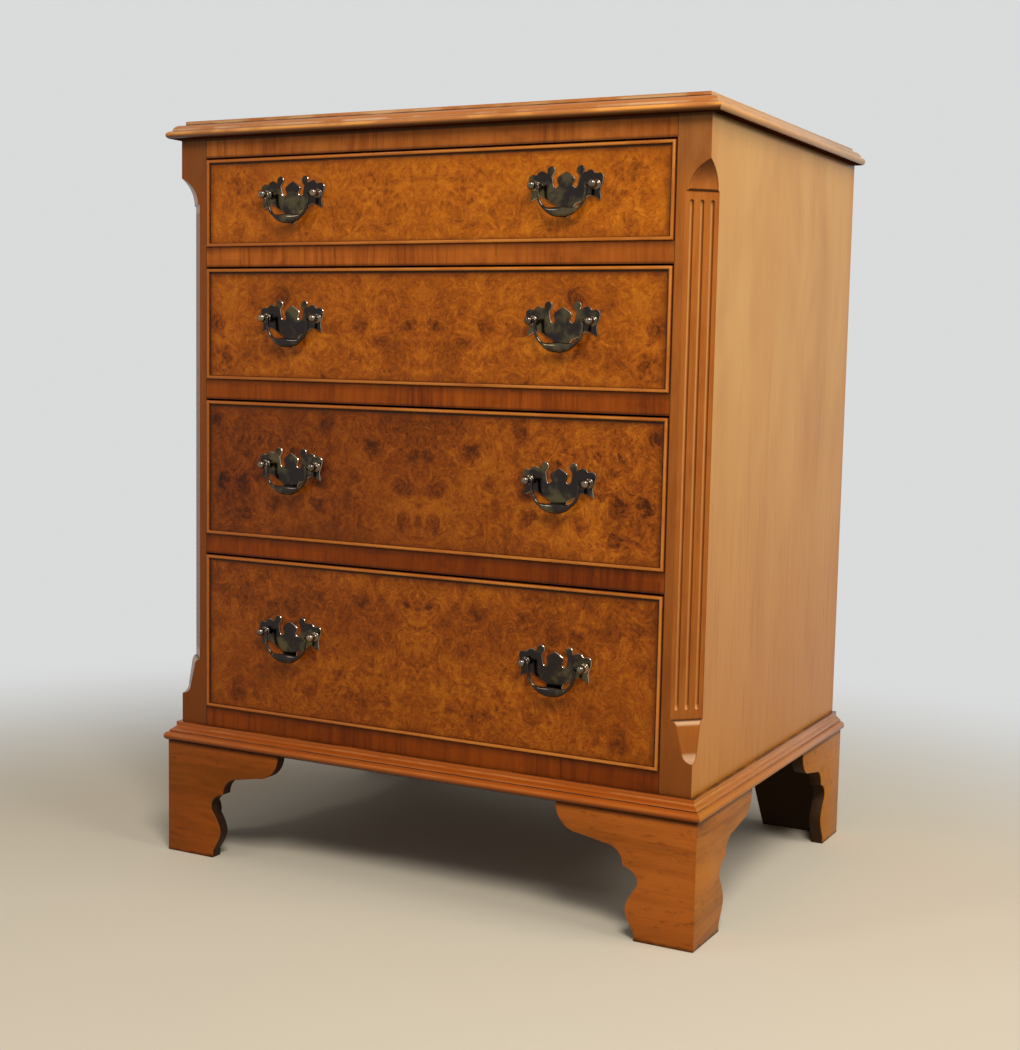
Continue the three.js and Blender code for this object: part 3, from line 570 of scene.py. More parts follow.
def post_finish(name, deeper):
    """Upright grain of a front post, with painted highlights and painted shade in the flutes and stops,
    painted shade in the scoop, and a painted shadow under the top.
    """
    shade = finishes()
    s = sizes()
    f = Finish(name, 0.28, gloss=0.22)
    light = stained(blend_of(shade.cross_light, shade.side_dark, 0.5), deeper)
    dark = blend_of(stained(shade.cross_dark, deeper), light, 0.45)
    f.base, pores = grain_pattern(f, 2, dark, light, 0.6, 0.7)
    x, y, z = f.axes()
    outward = x.size() - HALF
    inward = y - FRONT - outward
    cut_away = (y - FRONT).above(0.2 * MM, 0.9 * MM) * outward.above(-0.2 * MM, -0.9 * MM)
    depth = (inward - s.cant) * DIAGONAL_SHARE
    across = (outward + y - FRONT) * DIAGONAL_SHARE / s.flute_spacing
    offset = (across + 0.5).math("FRACT") - 0.5
    point, bowl_top, tongue_top, cant_foot, scoop_foot, scoop_top = post_levels()
    crown = z.above(scoop_top - 30 * MM, scoop_top + 10 * MM)
    f.lay(crown * 0.6, stained(shade.crown, deeper))
    foot = z.above(point + 450 * MM, point + 30 * MM) * (0.48 - cut_away * 0.28)
    foot = foot.most(z.above(point + 75 * MM, point - 10 * MM) * 0.82)
    f.lay(foot, stained(shade.post_foot, deeper * 0.5))
    streaks = f.noise(f.scaled(f.place, (1, 1, 0.06)), 190, 4, 0.65).above(0.45, 0.7)
    blotches = f.noise(f.scaled(f.place, (1, 1, 0.5)), 45, 3, 0.6).above(0.45, 0.75)
    f.lay(streaks * 0.38, stained(shade.post_foot, deeper * 0.5))
    f.lay(blotches * 0.28, stained(shade.cross_dark, deeper * 0.5))
    fluted = z.above(cant_foot + 4 * MM, cant_foot + 6 * MM)
    inside = depth.above(0.1 * MM, 0.4 * MM) * fluted * cut_away
    # Painted highlight: a pale stripe down one side of each flute, paler higher up.
    flute_highlight = inside * offset.above(0.09, 0.02)
    lower = z.above(cant_foot, scoop_top - 100 * MM) * 0.3 + 0.25
    f.lay(flute_highlight * lower, shade.rubbed)
    flute_foot = cant_foot + s.flute_foot
    # Painted highlight at the lower end of each flute.
    tip = inside * z.above(flute_foot + 6 * MM, flute_foot + 2 * MM)
    f.lay(tip * 0.6, shade.rubbed)
    # Painted shade down the other side of each flute.
    f.lay(inside * offset.above(0.1, 0.16) * 0.5, shade.grime)
    flute_top = scoop_foot - s.flute_head
    # Painted shade in the arched top of each flute.
    flute_top_shade = inside * z.above(flute_top - 8 * MM, flute_top)
    f.lay(flute_top_shade * 0.7, shade.grime)
    # Painted shadow along the ledge under the scoop.
    ledge = (z - scoop_foot).size().above(1.6 * MM, 0.6 * MM) * cut_away
    f.lay(ledge * 0.85, shade.grime)
    # Painted shade in the upper part of the scoop.
    scoop_shade = z.above(scoop_foot + 4 * MM, scoop_foot + 26 * MM) * cut_away
    scoop_shade = scoop_shade * z.above(scoop_top + MM, scoop_top)
    f.lay(scoop_shade * 0.8, blend_of(shade.cross_dark, shade.grime, 0.6))
    # Painted shade along the edges of the scoop.
    rim = (y - FRONT).least(outward * -1).above(1.6 * MM, 0.4 * MM) * cut_away
    rim = rim * z.above(scoop_foot + MM, scoop_foot + 3 * MM)
    f.lay(rim * 0.6, shade.grime)
    tongue = z.above(point, point + 2 * MM) * z.above(cant_foot, cant_foot - 2 * MM) * cut_away
    f.lay(tongue * 0.3, light)
    # Painted highlights: pale on the cove and the bowl of the lower stop.
    cove = z.above(tongue_top + MM, tongue_top + 4 * MM) * z.above(cant_foot, cant_foot - MM)
    bowl = z.above(point - 2 * MM, point) * z.above(bowl_top + 0.5 * MM, bowl_top - 3 * MM)
    stop_highlight = (cove * 0.65 + bowl * 0.5) * cut_away * (1 - deeper)
    f.lay(stop_highlight, shade.bare)
    # Painted shade along the foot of the cant.
    cant_foot_shade = (z - cant_foot).size().above(1.4 * MM, 0.4 * MM) * cut_away
    f.lay(cant_foot_shade * 0.7, shade.grime)
    joint = (x.size() - POST_INNER).above(1.1 * MM, 0.3 * MM)
    f.lay(joint * 0.85, shade.grime)
    # Painted shadow under the top.
    shadow = (CASE_TOP - z).above(11 * MM, 0.0) * 0.45
    under = (CASE_TOP - z).above(3.7 * MM, 2.2 * MM) * 0.8
    f.lay(shadow.most(under), shade.grime)
    return f.set(roughness=0.22 + pores * 0.12, normal=f.bump(pores, 0.1, 0.4 * MM))


def side_veneer():
    """Pale veneer of the two sides, the grain upright with a soft feathered figure."""
    shade = finishes()
    f = Finish("side_veneer", 0.24, gloss=0.12)
    drifted = f.drift(f.place, 5, 25 * MM, 3)
    feathers = f.noise(f.scaled(drifted, (1, 1, 0.3)), 13, 4, 0.55, 0.8) - 0.5
    bands = f.noise(f.scaled(drifted, (1, 1, 0.1)), 20, 3, 0.5) - 0.5
    lines = f.noise(f.scaled(f.place, (1, 1, 0.04), (0, 0, 1)), 330, 3, 0.6) - 0.5
    tone = feathers * 0.8 + bands * 0.5 + lines * 0.07 + 0.5
    f.base = f.ramp(
        tone,
        [(0.22, shade.side_dark), (0.5, blend_of(shade.side_dark, shade.side_light, 0.6)),
         (0.78, shade.side_light)],
    )
    _, y, z = f.axes()
    smoke = f.noise(f.place, 6, 4) * 0.25
    rust = blend_of(shade.side_dark, shade.cross_light, 0.4)
    blush = f.noise(f.scaled(f.place, (1, 1, 0.35), (3, 1, 2)), 10, 3).above(0.48, 0.7)
    f.lay(blush * 0.3, rust)
    # Painted light: the side left paler towards the top and darker and more saturated towards the
    # floor.
    low = (z + smoke * 0.6).above(690 * MM, 220 * MM)
    f.lay(low * 0.75, shade.side_low)
    streaks = f.noise(f.scaled(f.place, (1, 1, 0.05), (0, 0, 2)), 210, 4, 0.65).above(0.48, 0.68)
    f.lay(streaks * (low * 0.3 + 0.08), stained(shade.side_low, 0.35))
    edge = (y - FRONT).least(BACK - y) + smoke * 0.12
    f.lay(edge.above(40 * MM, 14 * MM) * 0.35, blend_of(shade.side_low, shade.grime, 0.1))
    shadow = (CASE_TOP - z).above(7 * MM, 0.0)
    f.lay(shadow * 0.85, shade.grime)
    return f.set(
        roughness=0.2 + (lines + 0.5) * 0.1, normal=f.bump(lines, 0.05, 0.2 * MM)
    )


def cross_veneer(node, deeper, faded):
    """Cross-grained veneer of a rail, in lengths with their own tones, with painted shade along its
    edges and a painted shadow under the top.
    """
    shade = finishes()
    low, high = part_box(node)
    f = Finish(f"{node}_veneer", 0.3, gloss=0.2)
    dark, light = stained(shade.cross_dark, deeper), stained(shade.cross_light, deeper)
    dark, light = blend_of(dark, shade.post_foot, faded), blend_of(light, shade.crown, faded)
    f.base, pores = grain_pattern(f, 2, dark, light, 1.3, 1.45)
    x, _, z = f.axes()
    length_mark = x * 5.3 + (z * 23).math("FLOOR") * 0.37 + f.noise(f.place, 40, 2) * 0.02
    lengths = f.node(
        "ShaderNodeTexWhiteNoise", {"noise_dimensions": "1D"}, {"W": length_mark.math("FLOOR")}
    )
    f.lay(lengths * 0.5, blend_of(dark, light, 0.3))
    joint = (length_mark.math("FRACT") - 0.5).size().above(0.49, 0.497)
    f.lay(joint * 0.3, shade.grime)
    smudge = f.noise(f.scaled(f.place, (1, 1, 1.6)), 26, 4, 0.65).above(0.52, 0.74)
    f.lay(smudge * 0.45, stained(dark, 0.3))
    # Painted shade along the lower edge and under the cockbead of the drawer above.
    foot = (z - low.z).above(3.2 * MM, 0.4 * MM)
    head = (high.z - z).above(9 * MM, 0.0)
    f.lay(foot.most(head * 0.75) * 0.7, blend_of(shade.grime, dark, 0.15))
    # Painted shadow under the top.
    under = (CASE_TOP - z).above(3.7 * MM, 2.2 * MM)
    f.lay(under * 0.8, shade.grime)
    return f.set(roughness=0.24 + pores * 0.12, normal=f.bump(pores, 0.1, 0.4 * MM))


def moulding_finish(name, along, foot, foot_shade, marks, light):
    """Moulding timber, with painted shade from its foot up and in its grooves, and painted highlights
    on its rounds.

    Each mark is a level line of painted highlight, painted shade or tan: its height, how far it reaches
    up and down, its share and its tint.
    """
    shade = finishes()
    f = Finish(name, 0.24, gloss=0.33)
    fade, shade_share = foot_shade
    dark = blend_of(shade.moulding_dark, light, 0.3)
    f.base, pores = grain_pattern(f, along, dark, light, 0.5, 0.6)
    _, _, z = f.axes()
    wander = f.noise(f.place, 40, 3) * (0.6 * MM) - 0.3 * MM
    # Patches in which the lighter marks show: the painted highlights, and the tan of the top.
    worn = f.noise(f.place, 25, 3).above(0.35, 0.6)
    patchy = f.noise(f.moved(f.place, (3, 1, 2)), 30, 3).above(0.3, 0.55) * 0.5 + 0.5
    for height, reach, share, tint in marks:
        band = (z + wander - height).size().above(reach, reach * 0.25)
        f.lay(band * (patchy if tint == "grime" else worn) * share, getattr(shade, tint))
    # Painted shade from the foot of the moulding up, under its lowest round.
    f.lay(z.above(foot + fade, foot + fade * 0.15) * shade_share, shade.grime)
    return f.set(roughness=0.2 + pores * 0.12, normal=f.bump(pores, 0.08, 0.3 * MM))


def soffit_finish(name):
    """Painted shade: a dull dark finish for the downward faces of a moulding."""
    shade = finishes()
    f = Finish(name, 0.9, gloss=0.0)
    f.base, _ = grain_pattern(f, 0, shade.grime, blend_of(shade.grime, shade.cross_dark, 0.3))
    return f.set()


def foot_finish(name, along, light):
    """Walnut of a bracket, darker along the floor, with painted light towards the back and painted
    shade under the base moulding.
    """
    shade = finishes()
    f = Finish(name, 0.32, gloss=0.1)
    dark = blend_of(shade.foot_dark, light, 0.2)
    f.base, pores = grain_pattern(f, along, dark, light, 1.6, 1.35)
    _, y, z = f.axes()
    # Painted light: paler towards the back, where the light falls off.
    f.lay(y.above(0, 200 * MM) * 0.7, shade.side_low)
    flecks = f.noise(f.scaled(f.place, (1, 1, 2.2)), 75, 4, 0.7).above(0.54, 0.74)
    f.lay(flecks * 0.55, blend_of(shade.foot_dark, shade.grime, 0.4))
    # Darker along the floor.
    floor_dark = (z + f.noise(f.place, 70, 3) * (6 * MM)).above(7.5 * MM, 3 * MM)
    f.lay(floor_dark * 0.8, shade.grime)
    # Painted shade under the base moulding.
    head = (z - FOOT_TOP).size().above(6 * MM, 0.6 * MM)
    f.lay(head * 0.7, shade.grime)
    return f.set(
        roughness=0.28 + pores * 0.14, normal=f.bump(pores + flecks, 0.12, 0.4 * MM)
    )


def sawn_finish():
    """Sawn edges of the feet, darkened with age."""
    shade = finishes()
    f = Finish("sawn_edge", 0.6, gloss=0.3)
    light = blend_of(shade.grime, shade.foot_dark, 0.15)
    f.base, pores = grain_pattern(f, 0, shade.grime, light)
    return f.set(roughness=0.5 + pores * 0.2, normal=f.bump(pores, 0.3, 0.6 * MM))


def brass_finish(name, rubbed, rough):
    """Brass darkened with age, olive in places, and rubbed brighter by a share."""
    shade = finishes()
    f = Finish(name, 0.25, metallic=1.0)
    tarnish = f.noise(f.place, 240, 4, 0.6)
    clouds = f.noise(f.place, 48, 2)
    tone = tarnish * 0.25 + clouds * 0.75
    low = blend_of(shade.brass_dark, shade.brass_worn, rubbed * 0.5)
    mid = blend_of(shade.brass_dark, shade.brass_worn, rubbed)
    high = blend_of(shade.brass_olive, shade.brass_worn, rubbed * 1.5)
    f.base = f.ramp(tone, [(0.4, low), (0.5, mid), (0.62, high)])
    return f.set(
        roughness=rough + tarnish * rough,
        normal=f.bump(f.noise(f.place, 300, 2), 0.06, 0.2 * MM),
    )


# Modelling


def deselect():
    if bpy.context.object and bpy.context.object.mode != "OBJECT":
        bpy.ops.object.mode_set(mode="OBJECT")
    bpy.ops.object.select_all(action="DESELECT")


def activate(obj):
    deselect()
    obj.select_set(True)
    bpy.context.view_layer.objects.active = obj


@contextmanager
def editing(obj, kind="VERT"):
    """Edit mode on one object, in which verts, edges or faces are selected."""
    activate(obj)
    bpy.ops.object.mode_set(mode="EDIT")
    bpy.ops.mesh.select_mode(type=kind)
    yield
    bpy.ops.object.mode_set(mode="OBJECT")


def pick(kind, test):
    """Selects in edit mode the verts, edges or faces that pass a test."""
    mesh = bmesh.from_edit_mesh(bpy.context.object.data)
    bpy.ops.mesh.select_all(action="DESELECT")
    for part in getattr(mesh, kind):
        if test(part):
            part.select_set(True)
    bmesh.update_edit_mesh(bpy.context.object.data)


def primitive(kind, name, **placing):
    """A primitive at its size and place, and nothing else selected."""
    deselect()
    getattr(bpy.ops.mesh, f"primitive_{kind}_add")(**placing)
    obj = bpy.context.object
    obj.name = name
    obj.data.name = name
    return obj


def extrude(step):
    """Extrudes what is selected by a step."""
    bpy.ops.mesh.extrude_region_move(TRANSFORM_OT_translate={"value": tuple(step)})


def face_outwards():
    """Turns the faces of the mesh in edit mode outwards and leaves it all selected."""
    bpy.ops.mesh.select_all(action="SELECT")
    bpy.ops.mesh.normals_make_consistent(inside=False)


def block(name, low, high):
    """A box between two corners."""
    low, high = Vector(low), Vector(high)
    return primitive("cube", name, size=1, location=(low + high) / 2, scale=high - low)


def trace(name, points):
    """A line drawn from point to point."""
    obj = primitive("plane", name, size=MM, location=points[0])
    with editing(obj):
        bpy.ops.mesh.merge(type="CENTER")
        for here, there in zip(points, points[1:]):
            extrude(Vector(there) - Vector(here))
    return obj


def draw(name, points, run):
    """An outline drawn corner by corner, closed, filled and extruded by a run."""
    obj = trace(name, [*points, points[0]])
    with editing(obj):
        bpy.ops.mesh.select_all(action="SELECT")
        bpy.ops.mesh.remove_doubles(threshold=HAIR)
        bpy.ops.mesh.edge_face_add()
        extrude(run)
        face_outwards()
    return obj


def cut(obj, place, normal):
    """Cuts away what lies past a plane, on the side that its normal points to."""
    with editing(obj):
        bpy.ops.mesh.select_all(action="SELECT")
        bpy.ops.mesh.bisect(
            plane_co=tuple(place), plane_no=tuple(normal), use_fill=True, clear_outer=True
        )


def modify(obj, kind, **settings):
    """Adds a modifier and applies it."""
    activate(obj)
    bpy.ops.object.modifier_add(type=kind)
    modifier = obj.modifiers[-1]
    for key, value in settings.items():
        setattr(modifier, key, value)
    bpy.ops.object.modifier_apply(modifier=modifier.name)


def soften(obj, width, segments, angle):
    """Bevels the edges that turn by more than an angle in degrees."""
    modify(
        obj, "BEVEL", width=width, segments=segments, limit_method="ANGLE",
        angle_limit=math.radians(angle), use_clamp_overlap=True,
    )


def carve(obj, cutter):
    """Cuts one solid out of another and deletes the cutter."""
    modify(obj, "BOOLEAN", operation="DIFFERENCE", solver="EXACT", object=cutter)
    bpy.data.objects.remove(cutter)


def weld(obj, *others):
    """Joins others into obj."""
    activate(obj)
    for other in others:
        other.select_set(True)
    bpy.ops.object.join()
    return obj


def settle(obj, smooth=34):
    """Applies an object's place and turn, turns its faces outwards and smooths its curves."""
    activate(obj)
    bpy.ops.object.transform_apply(location=True, rotation=True, scale=True)
    with editing(obj):
        face_outwards()
    activate(obj)
    bpy.ops.object.shade_smooth_by_angle(angle=math.radians(smooth))
    return obj


def copied(obj, name, offset=(0, 0, 0), mirror=False):
    """A copy with its own mesh, moved or mirrored left for right."""
    activate(obj)
    bpy.ops.object.duplicate(linked=False)
    twin = bpy.context.object
    twin.name = name
    twin.data.name = name
    twin.location = offset
    if mirror:
        twin.scale.x = -1
    bpy.ops.object.transform_apply(location=True, rotation=False, scale=True)
    if mirror:
        with editing(twin):
            face_outwards()
    return twin


def arc(x, y, across, up, start, turn, steps):
    """Places round an oval arc, in degrees."""
    places = []
    for i in range(steps + 1):
        angle = math.radians(start + turn * i / steps)
        places.append((x + across * math.cos(angle), y + up * math.sin(angle)))
    return places


def flowing(points, steps):
    """A smooth curve through points, with steps from each to the next."""
    padded = [points[0], *points, points[-1]]
    places = []
    for a, b, c, d in zip(padded, padded[1:], padded[2:], padded[3:]):
        for i in range(steps):
            t = i / steps
            places.append(tuple(
                0.5 * (2 * q + (r - p) * t + (2 * p - 5 * q + 4 * r - s) * t * t
                       + (3 * q - p - 3 * r + s) * t ** 3)
                for p, q, r, s in zip(a, b, c, d)
            ))
    return [*places, points[-1]]


def dress(obj, body, materials, slot, *replaced):
    """Gives a finished piece its materials and its body, and hides the solids it stands for; the slot
    is not used.
    """
    obj.data.materials.clear()
    for material in materials:
        obj.data.materials.append(material)
    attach(obj, body)
    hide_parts(*replaced)


def mark(obj, index, test):
    """Gives the faces that pass a test another of an object's materials."""
    for polygon in obj.data.polygons:
        if test(polygon):
            polygon.material_index = index


def refinish(node, material):
    """Gives a solid that stays in view its material."""
    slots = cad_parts[node].material_slots
    slots[0].link = "OBJECT"
    slots[0].material = material


# Mouldings of the top and the base


def top_section():
    """Section of the top's edge, as pairs of reach from the case and height."""
    s = sizes()
    bead = s.top_reach - s.top_bead
    ovolo = bead - s.top_quirk - s.top_ovolo_width
    shoulder = 2 * s.top_bead + s.top_ovolo_height
    return [
        (-s.top_edge, 0),
        *arc(bead, s.top_bead, s.top_bead, s.top_bead, -90, 180, 2 * s.steps),
        *arc(ovolo, 2 * s.top_bead, s.top_ovolo_width, s.top_ovolo_height, 0, 90, s.steps),
        (ovolo - s.top_step, shoulder),
        (ovolo - s.top_step, TOP - CASE_TOP),
        (-s.top_edge, TOP - CASE_TOP),
    ]


# How the cove of the base moulding bends: powers of what is left of it, outwards and upwards
OUT_POWER = 1.6
UP_POWER = 1.35


def base_section():
    """Section of the base moulding: a bead, a groove, a cove and a fillet."""
    s = sizes()
    bead = s.base_reach - s.base_bead
    cove_foot = 2 * s.base_bead + s.base_quirk
    cove_head = cove_foot + s.base_cove
    cove = [
        (s.base_fillet + (bead - s.base_fillet) * (1 - t) ** OUT_POWER,
         cove_foot + s.base_cove * (1 - (1 - t) ** UP_POWER))
        for t in (i / s.steps for i in range(s.steps + 1))
    ]
    return [
        (0, 0),
        *arc(bead, s.base_bead, s.base_bead, s.base_bead, -90, 180, 2 * s.steps),
        *cove[:-1],
        (s.base_fillet, cove_head),
        (s.base_fillet, BASE_TOP - FOOT_TOP),
        (0, BASE_TOP - FOOT_TOP),
    ]


def moulding_run(name, section, level, side):
    """One run of a moulding: the front one at side 0, mitred at both ends, else a side one."""
    overrun = RUN_OVER
    if side == 0:
        points = [(-HALF - overrun, FRONT - reach, level + rise) for reach, rise in section]
        run = draw(name, points, (2 * HALF + 2 * overrun, 0, 0))
        for sign in (-1, 1):
            cut(run, (sign * HALF, FRONT, level), (sign, 1, 0))
    else:
        points = [(side * (HALF + reach), FRONT - overrun, level + rise) for reach, rise in section]
        run = draw(name, points, (0, BACK - FRONT + overrun, 0))
        cut(run, (side * HALF, FRONT, level), (-side, -1, 0))
    soften(run, sizes().moulding_ease, 2, 50)
    return settle(run)


def mould(runs, section, level, materials, nodes):
    """The front and side runs of a moulding, with materials for front and sides, and painted shade for
    its downward faces.
    """
    front, flank, underside_shade = materials
    for word, side in (("front", 0), *SIDES):
        run = moulding_run(runs.format(word), section, level, side)
        finish = front if side == 0 else flank
        dress(run, "carcase", [finish, underside_shade], "moulding_walnut", nodes.format(word))
        # Downward faces get the dark painted shade.
        mark(run, 1, lambda face: face.normal.z < -0.9)


def top_veneer():
    """Burr leaves inside two narrow lines and a cross-grained border."""
    shade = finishes()
    f = Finish("top_veneer", 0.26, gloss=0.45)
    burr, tone = burr_pattern(f, matched(f, True), 7, 0.1, 0.45, 0.95)
    x, y, _ = f.axes()
    border = HALF - x.size()
    depth = (y - FRONT).least(BACK - y)
    edge = border.least(depth)
    upright, _ = grain_pattern(f, 1, shade.cross_dark, shade.cross_light, 1.1, 1.2)
    level, pores = grain_pattern(f, 0, shade.cross_dark, shade.cross_light, 1.1, 1.2)
    f.base = f.mix((depth - border).above(-0.1 * MM, 0.1 * MM), upright, level)
    pale_line = sizes().top_border
    dark_line = pale_line + 1.4 * MM
    leaves = dark_line + MM
    black = blend_of(shade.burr_dark, (0, 0, 0), 0.5)
    for start, tint in ((pale_line, shade.bead_light), (dark_line, black), (leaves, burr)):
        f.lay(edge.above(start, start + 0.4 * MM), tint)
    return f.set(roughness=0.24 + pores * 0.12, normal=f.bump(tone + pores, 0.1, 0.4 * MM))


class CHEST_OT_top(Operator):
    """Model the top: a burr panel with a cross-grained border inside a mitred moulding"""

    bl_idname = "chest.top"
    bl_label = "Top"

    def execute(self, context):
        s = sizes()
        shade = finishes()
        quirk = CASE_TOP + 2 * s.top_bead
        shoulder = quirk + s.top_ovolo_height
        # Level lines on the front of the top: the tan of its upper edge, a pale painted highlight on
        # the ovolo, a golden painted highlight on the bead, and painted shade in the quirk and under
        # the shoulder.
        marks = [
            (TOP - 2.4 * MM, 2.4 * MM, 0.85, "tan"),
            (quirk + s.top_ovolo_height / 4, 1.6 * MM, 0.6, "bare"),
            (quirk - s.top_bead * 0.6, 2.4 * MM, 0.8, "golden"),
            (quirk, 0.6 * MM, 0.6, "grime"),
            (shoulder + 0.7 * MM, 1.4 * MM, 0.85, "grime"),
        ]
        faint = [(height, reach, share * 0.45, tint) for height, reach, share, tint in marks]
        brown = blend_of(stained(shade.moulding_light, 0.12), shade.tan, 0.2)
        # The side run is paler: a painted reflection of the room on the side.
        pale = blend_of(shade.tan, shade.side_light, 0.6)
        front = moulding_finish("top_moulding_front", 0, CASE_TOP, (5.2 * MM, 0.88), marks, brown)
        flank = moulding_finish("top_moulding_side", 1, CASE_TOP, (2 * MM, 0.5), faint, pale)
        materials = (front, flank, soffit_finish("top_soffit"))
        mould("top_moulding_{}", top_section(), CASE_TOP, materials, "top_board")
        inner = HALF - s.top_edge
        panel = block("top_panel", (-inner, FRONT + s.top_edge, CASE_TOP), (inner, BACK, TOP))
        soften(panel, s.panel_ease, 1, 50)
        settle(panel)
        dress(panel, "carcase", [top_veneer()], "burr_walnut", "top_board")
        return {"FINISHED"}


class CHEST_OT_base(Operator):
    """Model the base moulding on the front and both sides"""

    bl_idname = "chest.base"
    bl_label = "Base Moulding"

    def execute(self, context):
        s = sizes()
        quirk = FOOT_TOP + 2 * s.base_bead
        fillet = quirk + s.base_quirk + s.base_cove
        shade = finishes()
        # Level lines on the base moulding: painted highlights on the bead, the edge of the quirk and
        # the fillet, painted shade in the quirk and the cove, and darker along its top.
        marks = [
            (quirk - s.base_bead * 0.6, 1.6 * MM, 0.12, "golden"),
            (quirk + s.base_quirk, 0.7 * MM, 0.12, "rubbed"),
            (fillet, 0.9 * MM, 0.28, "rubbed"),
            (quirk + s.base_quirk / 2, 0.9 * MM, 0.85, "grime"),
            (fillet - s.base_cove / 2, 0.8 * MM, 0.3, "grime"),
            (BASE_TOP, 0.8 * MM, 0.8, "grime"),
        ]
        front = moulding_finish(
            "base_moulding_front", 0, FOOT_TOP, (6 * MM, 0.88), marks, shade.base_red
        )
        flank = moulding_finish(
            "base_moulding_side", 1, FOOT_TOP, (3 * MM, 0.8), marks,
            blend_of(shade.base_red, shade.side_low, 0.95),
        )
        materials = (front, flank, soffit_finish("base_soffit"))
        mould("base_run_{}", base_section(), FOOT_TOP, materials, "base_moulding_{}")
        return {"FINISHED"}


# Front posts


def canted_post(name):
    """The right front post: canted between its stops and fluted."""
    s = sizes()
    post = block(name, (POST_INNER, FRONT, FOOT_TOP), (HALF, POST_BACK, CASE_TOP))
    root = DIAGONAL_SHARE
    overrun = CUTTER_OVER
    point, bowl_top, tongue_top, cant_foot, scoop_foot, scoop_top = post_levels()
    depth = s.scoop_end * root
    radius = (s.scoop_height ** 2 + depth ** 2) / (2 * depth)
    turn = math.degrees(math.asin(s.scoop_height / radius))
    cove = [
        (s.tongue_width * root + (s.cant - s.tongue_width) * root * (1 - math.cos(a)),
         tongue_top + s.cove_height * math.sin(a))
        for a in (math.pi / 2 * i / s.steps for i in range(s.steps + 1))
    ]
    outline = [
        (-overrun, point),
        *arc(0, bowl_top, s.bowl_width * root, s.bowl_height, -90, 90, 2 * s.steps),
        *cove,
        (s.cant * root, scoop_foot - s.ledge),
        *arc(depth - radius, scoop_foot, radius, radius, 0, turn, 2 * s.steps),
        (-overrun, scoop_top),
    ]
    reach = s.cant + overrun
    across = Vector((root, root, 0)) * reach
    corner = Vector((HALF, FRONT, 0)) - across
    points = [corner + Vector((-u * root, u * root, z)) for u, z in outline]
    carve(post, draw("post_cutter", points, 2 * across))
    foot = cant_foot + s.flute_foot + s.flute_radius
    head = scoop_foot - s.ledge - s.flute_head - s.flute_radius
    for step in (-1, 0, 1):
        middle = Vector((HALF - s.cant / 2, FRONT + s.cant / 2, (foot + head) / 2))
        middle += Vector((root, root, 0)) * step * s.flute_spacing
        flute = primitive(
            "uv_sphere", "flute_cutter", segments=24, ring_count=12, radius=s.flute_radius,
            location=middle,
        )
        for sign in (-1, 1):
            with editing(flute):
                pick("verts", lambda v: v.co.z * sign > s.flute_radius * 0.01)
                bpy.ops.transform.translate(value=(0, 0, sign * (head - foot) / 2))
        carve(post, flute)
    modify(post, "TRIANGULATE", min_vertices=5)
    return post


class CHEST_OT_posts(Operator):
    """Model the canted and fluted front posts"""

    bl_idname = "chest.posts"
    bl_label = "Front Posts"

    def execute(self, context):
        # Stain of each post; the left one's deeper stain is partly painted shade, on the side away from
        # the light.
        stains_and_shade = {"right": 0.12, "left": 0.46}
        post = settle(canted_post("post_right"), 30)
        twin = copied(post, "post_left", mirror=True)
        side = side_veneer()
        for piece, name, sign in ((post, "right", 1), (twin, "left", -1)):
            front = post_finish(f"post_{name}_veneer", stains_and_shade[name])
            dress(piece, "carcase", [front, side], "cross_walnut", f"front_post_{name}")
            mark(piece, 1, lambda face: face.normal.x * sign > 0.99)
        for name, _ in SIDES:
            refinish(f"side_panel_{name}", side)
        return {"FINISHED"}


# Carcase boards


class CHEST_OT_carcase(Operator):
    """Finish the rails, the inner boards and the back"""

    bl_idname = "chest.carcase"
    bl_label = "Carcase Boards"

    def execute(self, context):
        shade = finishes()
        # Stain and fading of each rail; the deeper stain of the lower rails is partly painted shade
        # towards the floor.
        rails = {
            "top_rail": (-0.3, 0.45),
            "drawer_divider_1": (-0.08, 0.2),
            "drawer_divider_2": (0.25, 0.02),
            "drawer_divider_3": (0.46, 0),
            "bottom_rail": (0.46, 0),
        }
        for node, (deeper, faded) in rails.items():
            refinish(node, cross_veneer(node, deeper, faded))
        inner = straight_grain(
            "inner_boards", shade.carcase_dark, shade.carcase_light, 0, roughness=0.75, gloss=0.2
        )
        for node in ("bottom_board", *(f"dust_board_{i}" for i in (1, 2, 3))):
            refinish(node, inner)
        upright = straight_grain(
            "back_boards", shade.carcase_dark, shade.carcase_light, 2, roughness=0.7, gloss=0.2
        )
        refinish("back_panel", upright)
        for name, _ in SIDES:
            refinish(f"foot_rear_{name}_back", sawn_finish())
        return {"FINISHED"}


# Feet

# Inner edge of a leg over its ankle, as shares of its swell and of the height up to the cusp
LEG_SHARES = [
    (0, 0), (0.75, 0.2), (1, 0.36), (0.55, 0.55), (-0.1, 0.7), (-0.22, 0.79), (0, 0.88),
    (0.6, 0.96),
]


def bracket_outline(leg):
    """Face of a bracket from its outer edge: leg, swell, cusp, cove and rounded wing."""
    s = sizes()
    ankle, cove, end = s.foot_ankle, s.foot_cove, s.foot_wing_round
    cusp, cusp_level = leg + s.foot_cusp, FOOT_TOP - s.foot_cusp_drop
    wing, wing_level = leg + s.foot_wing, FOOT_TOP - s.foot_wing_drop
    curve = [
        (leg + out * s.foot_swell, ankle + up * (cusp_level - ankle)) for out, up in LEG_SHARES
    ]
    return [
        (0, 0),
        (leg, 0),
        *flowing([*curve, (cusp, cusp_level)], 4),
        *arc(cusp + cove, cusp_level, cove, cove, 180, -90, 2 * s.steps)[1:],
        *arc(wing - end, wing_level + end, end, end, -90, 90, 2 * s.steps),
        (wing, FOOT_TOP),
        (0, FOOT_TOP),
    ]


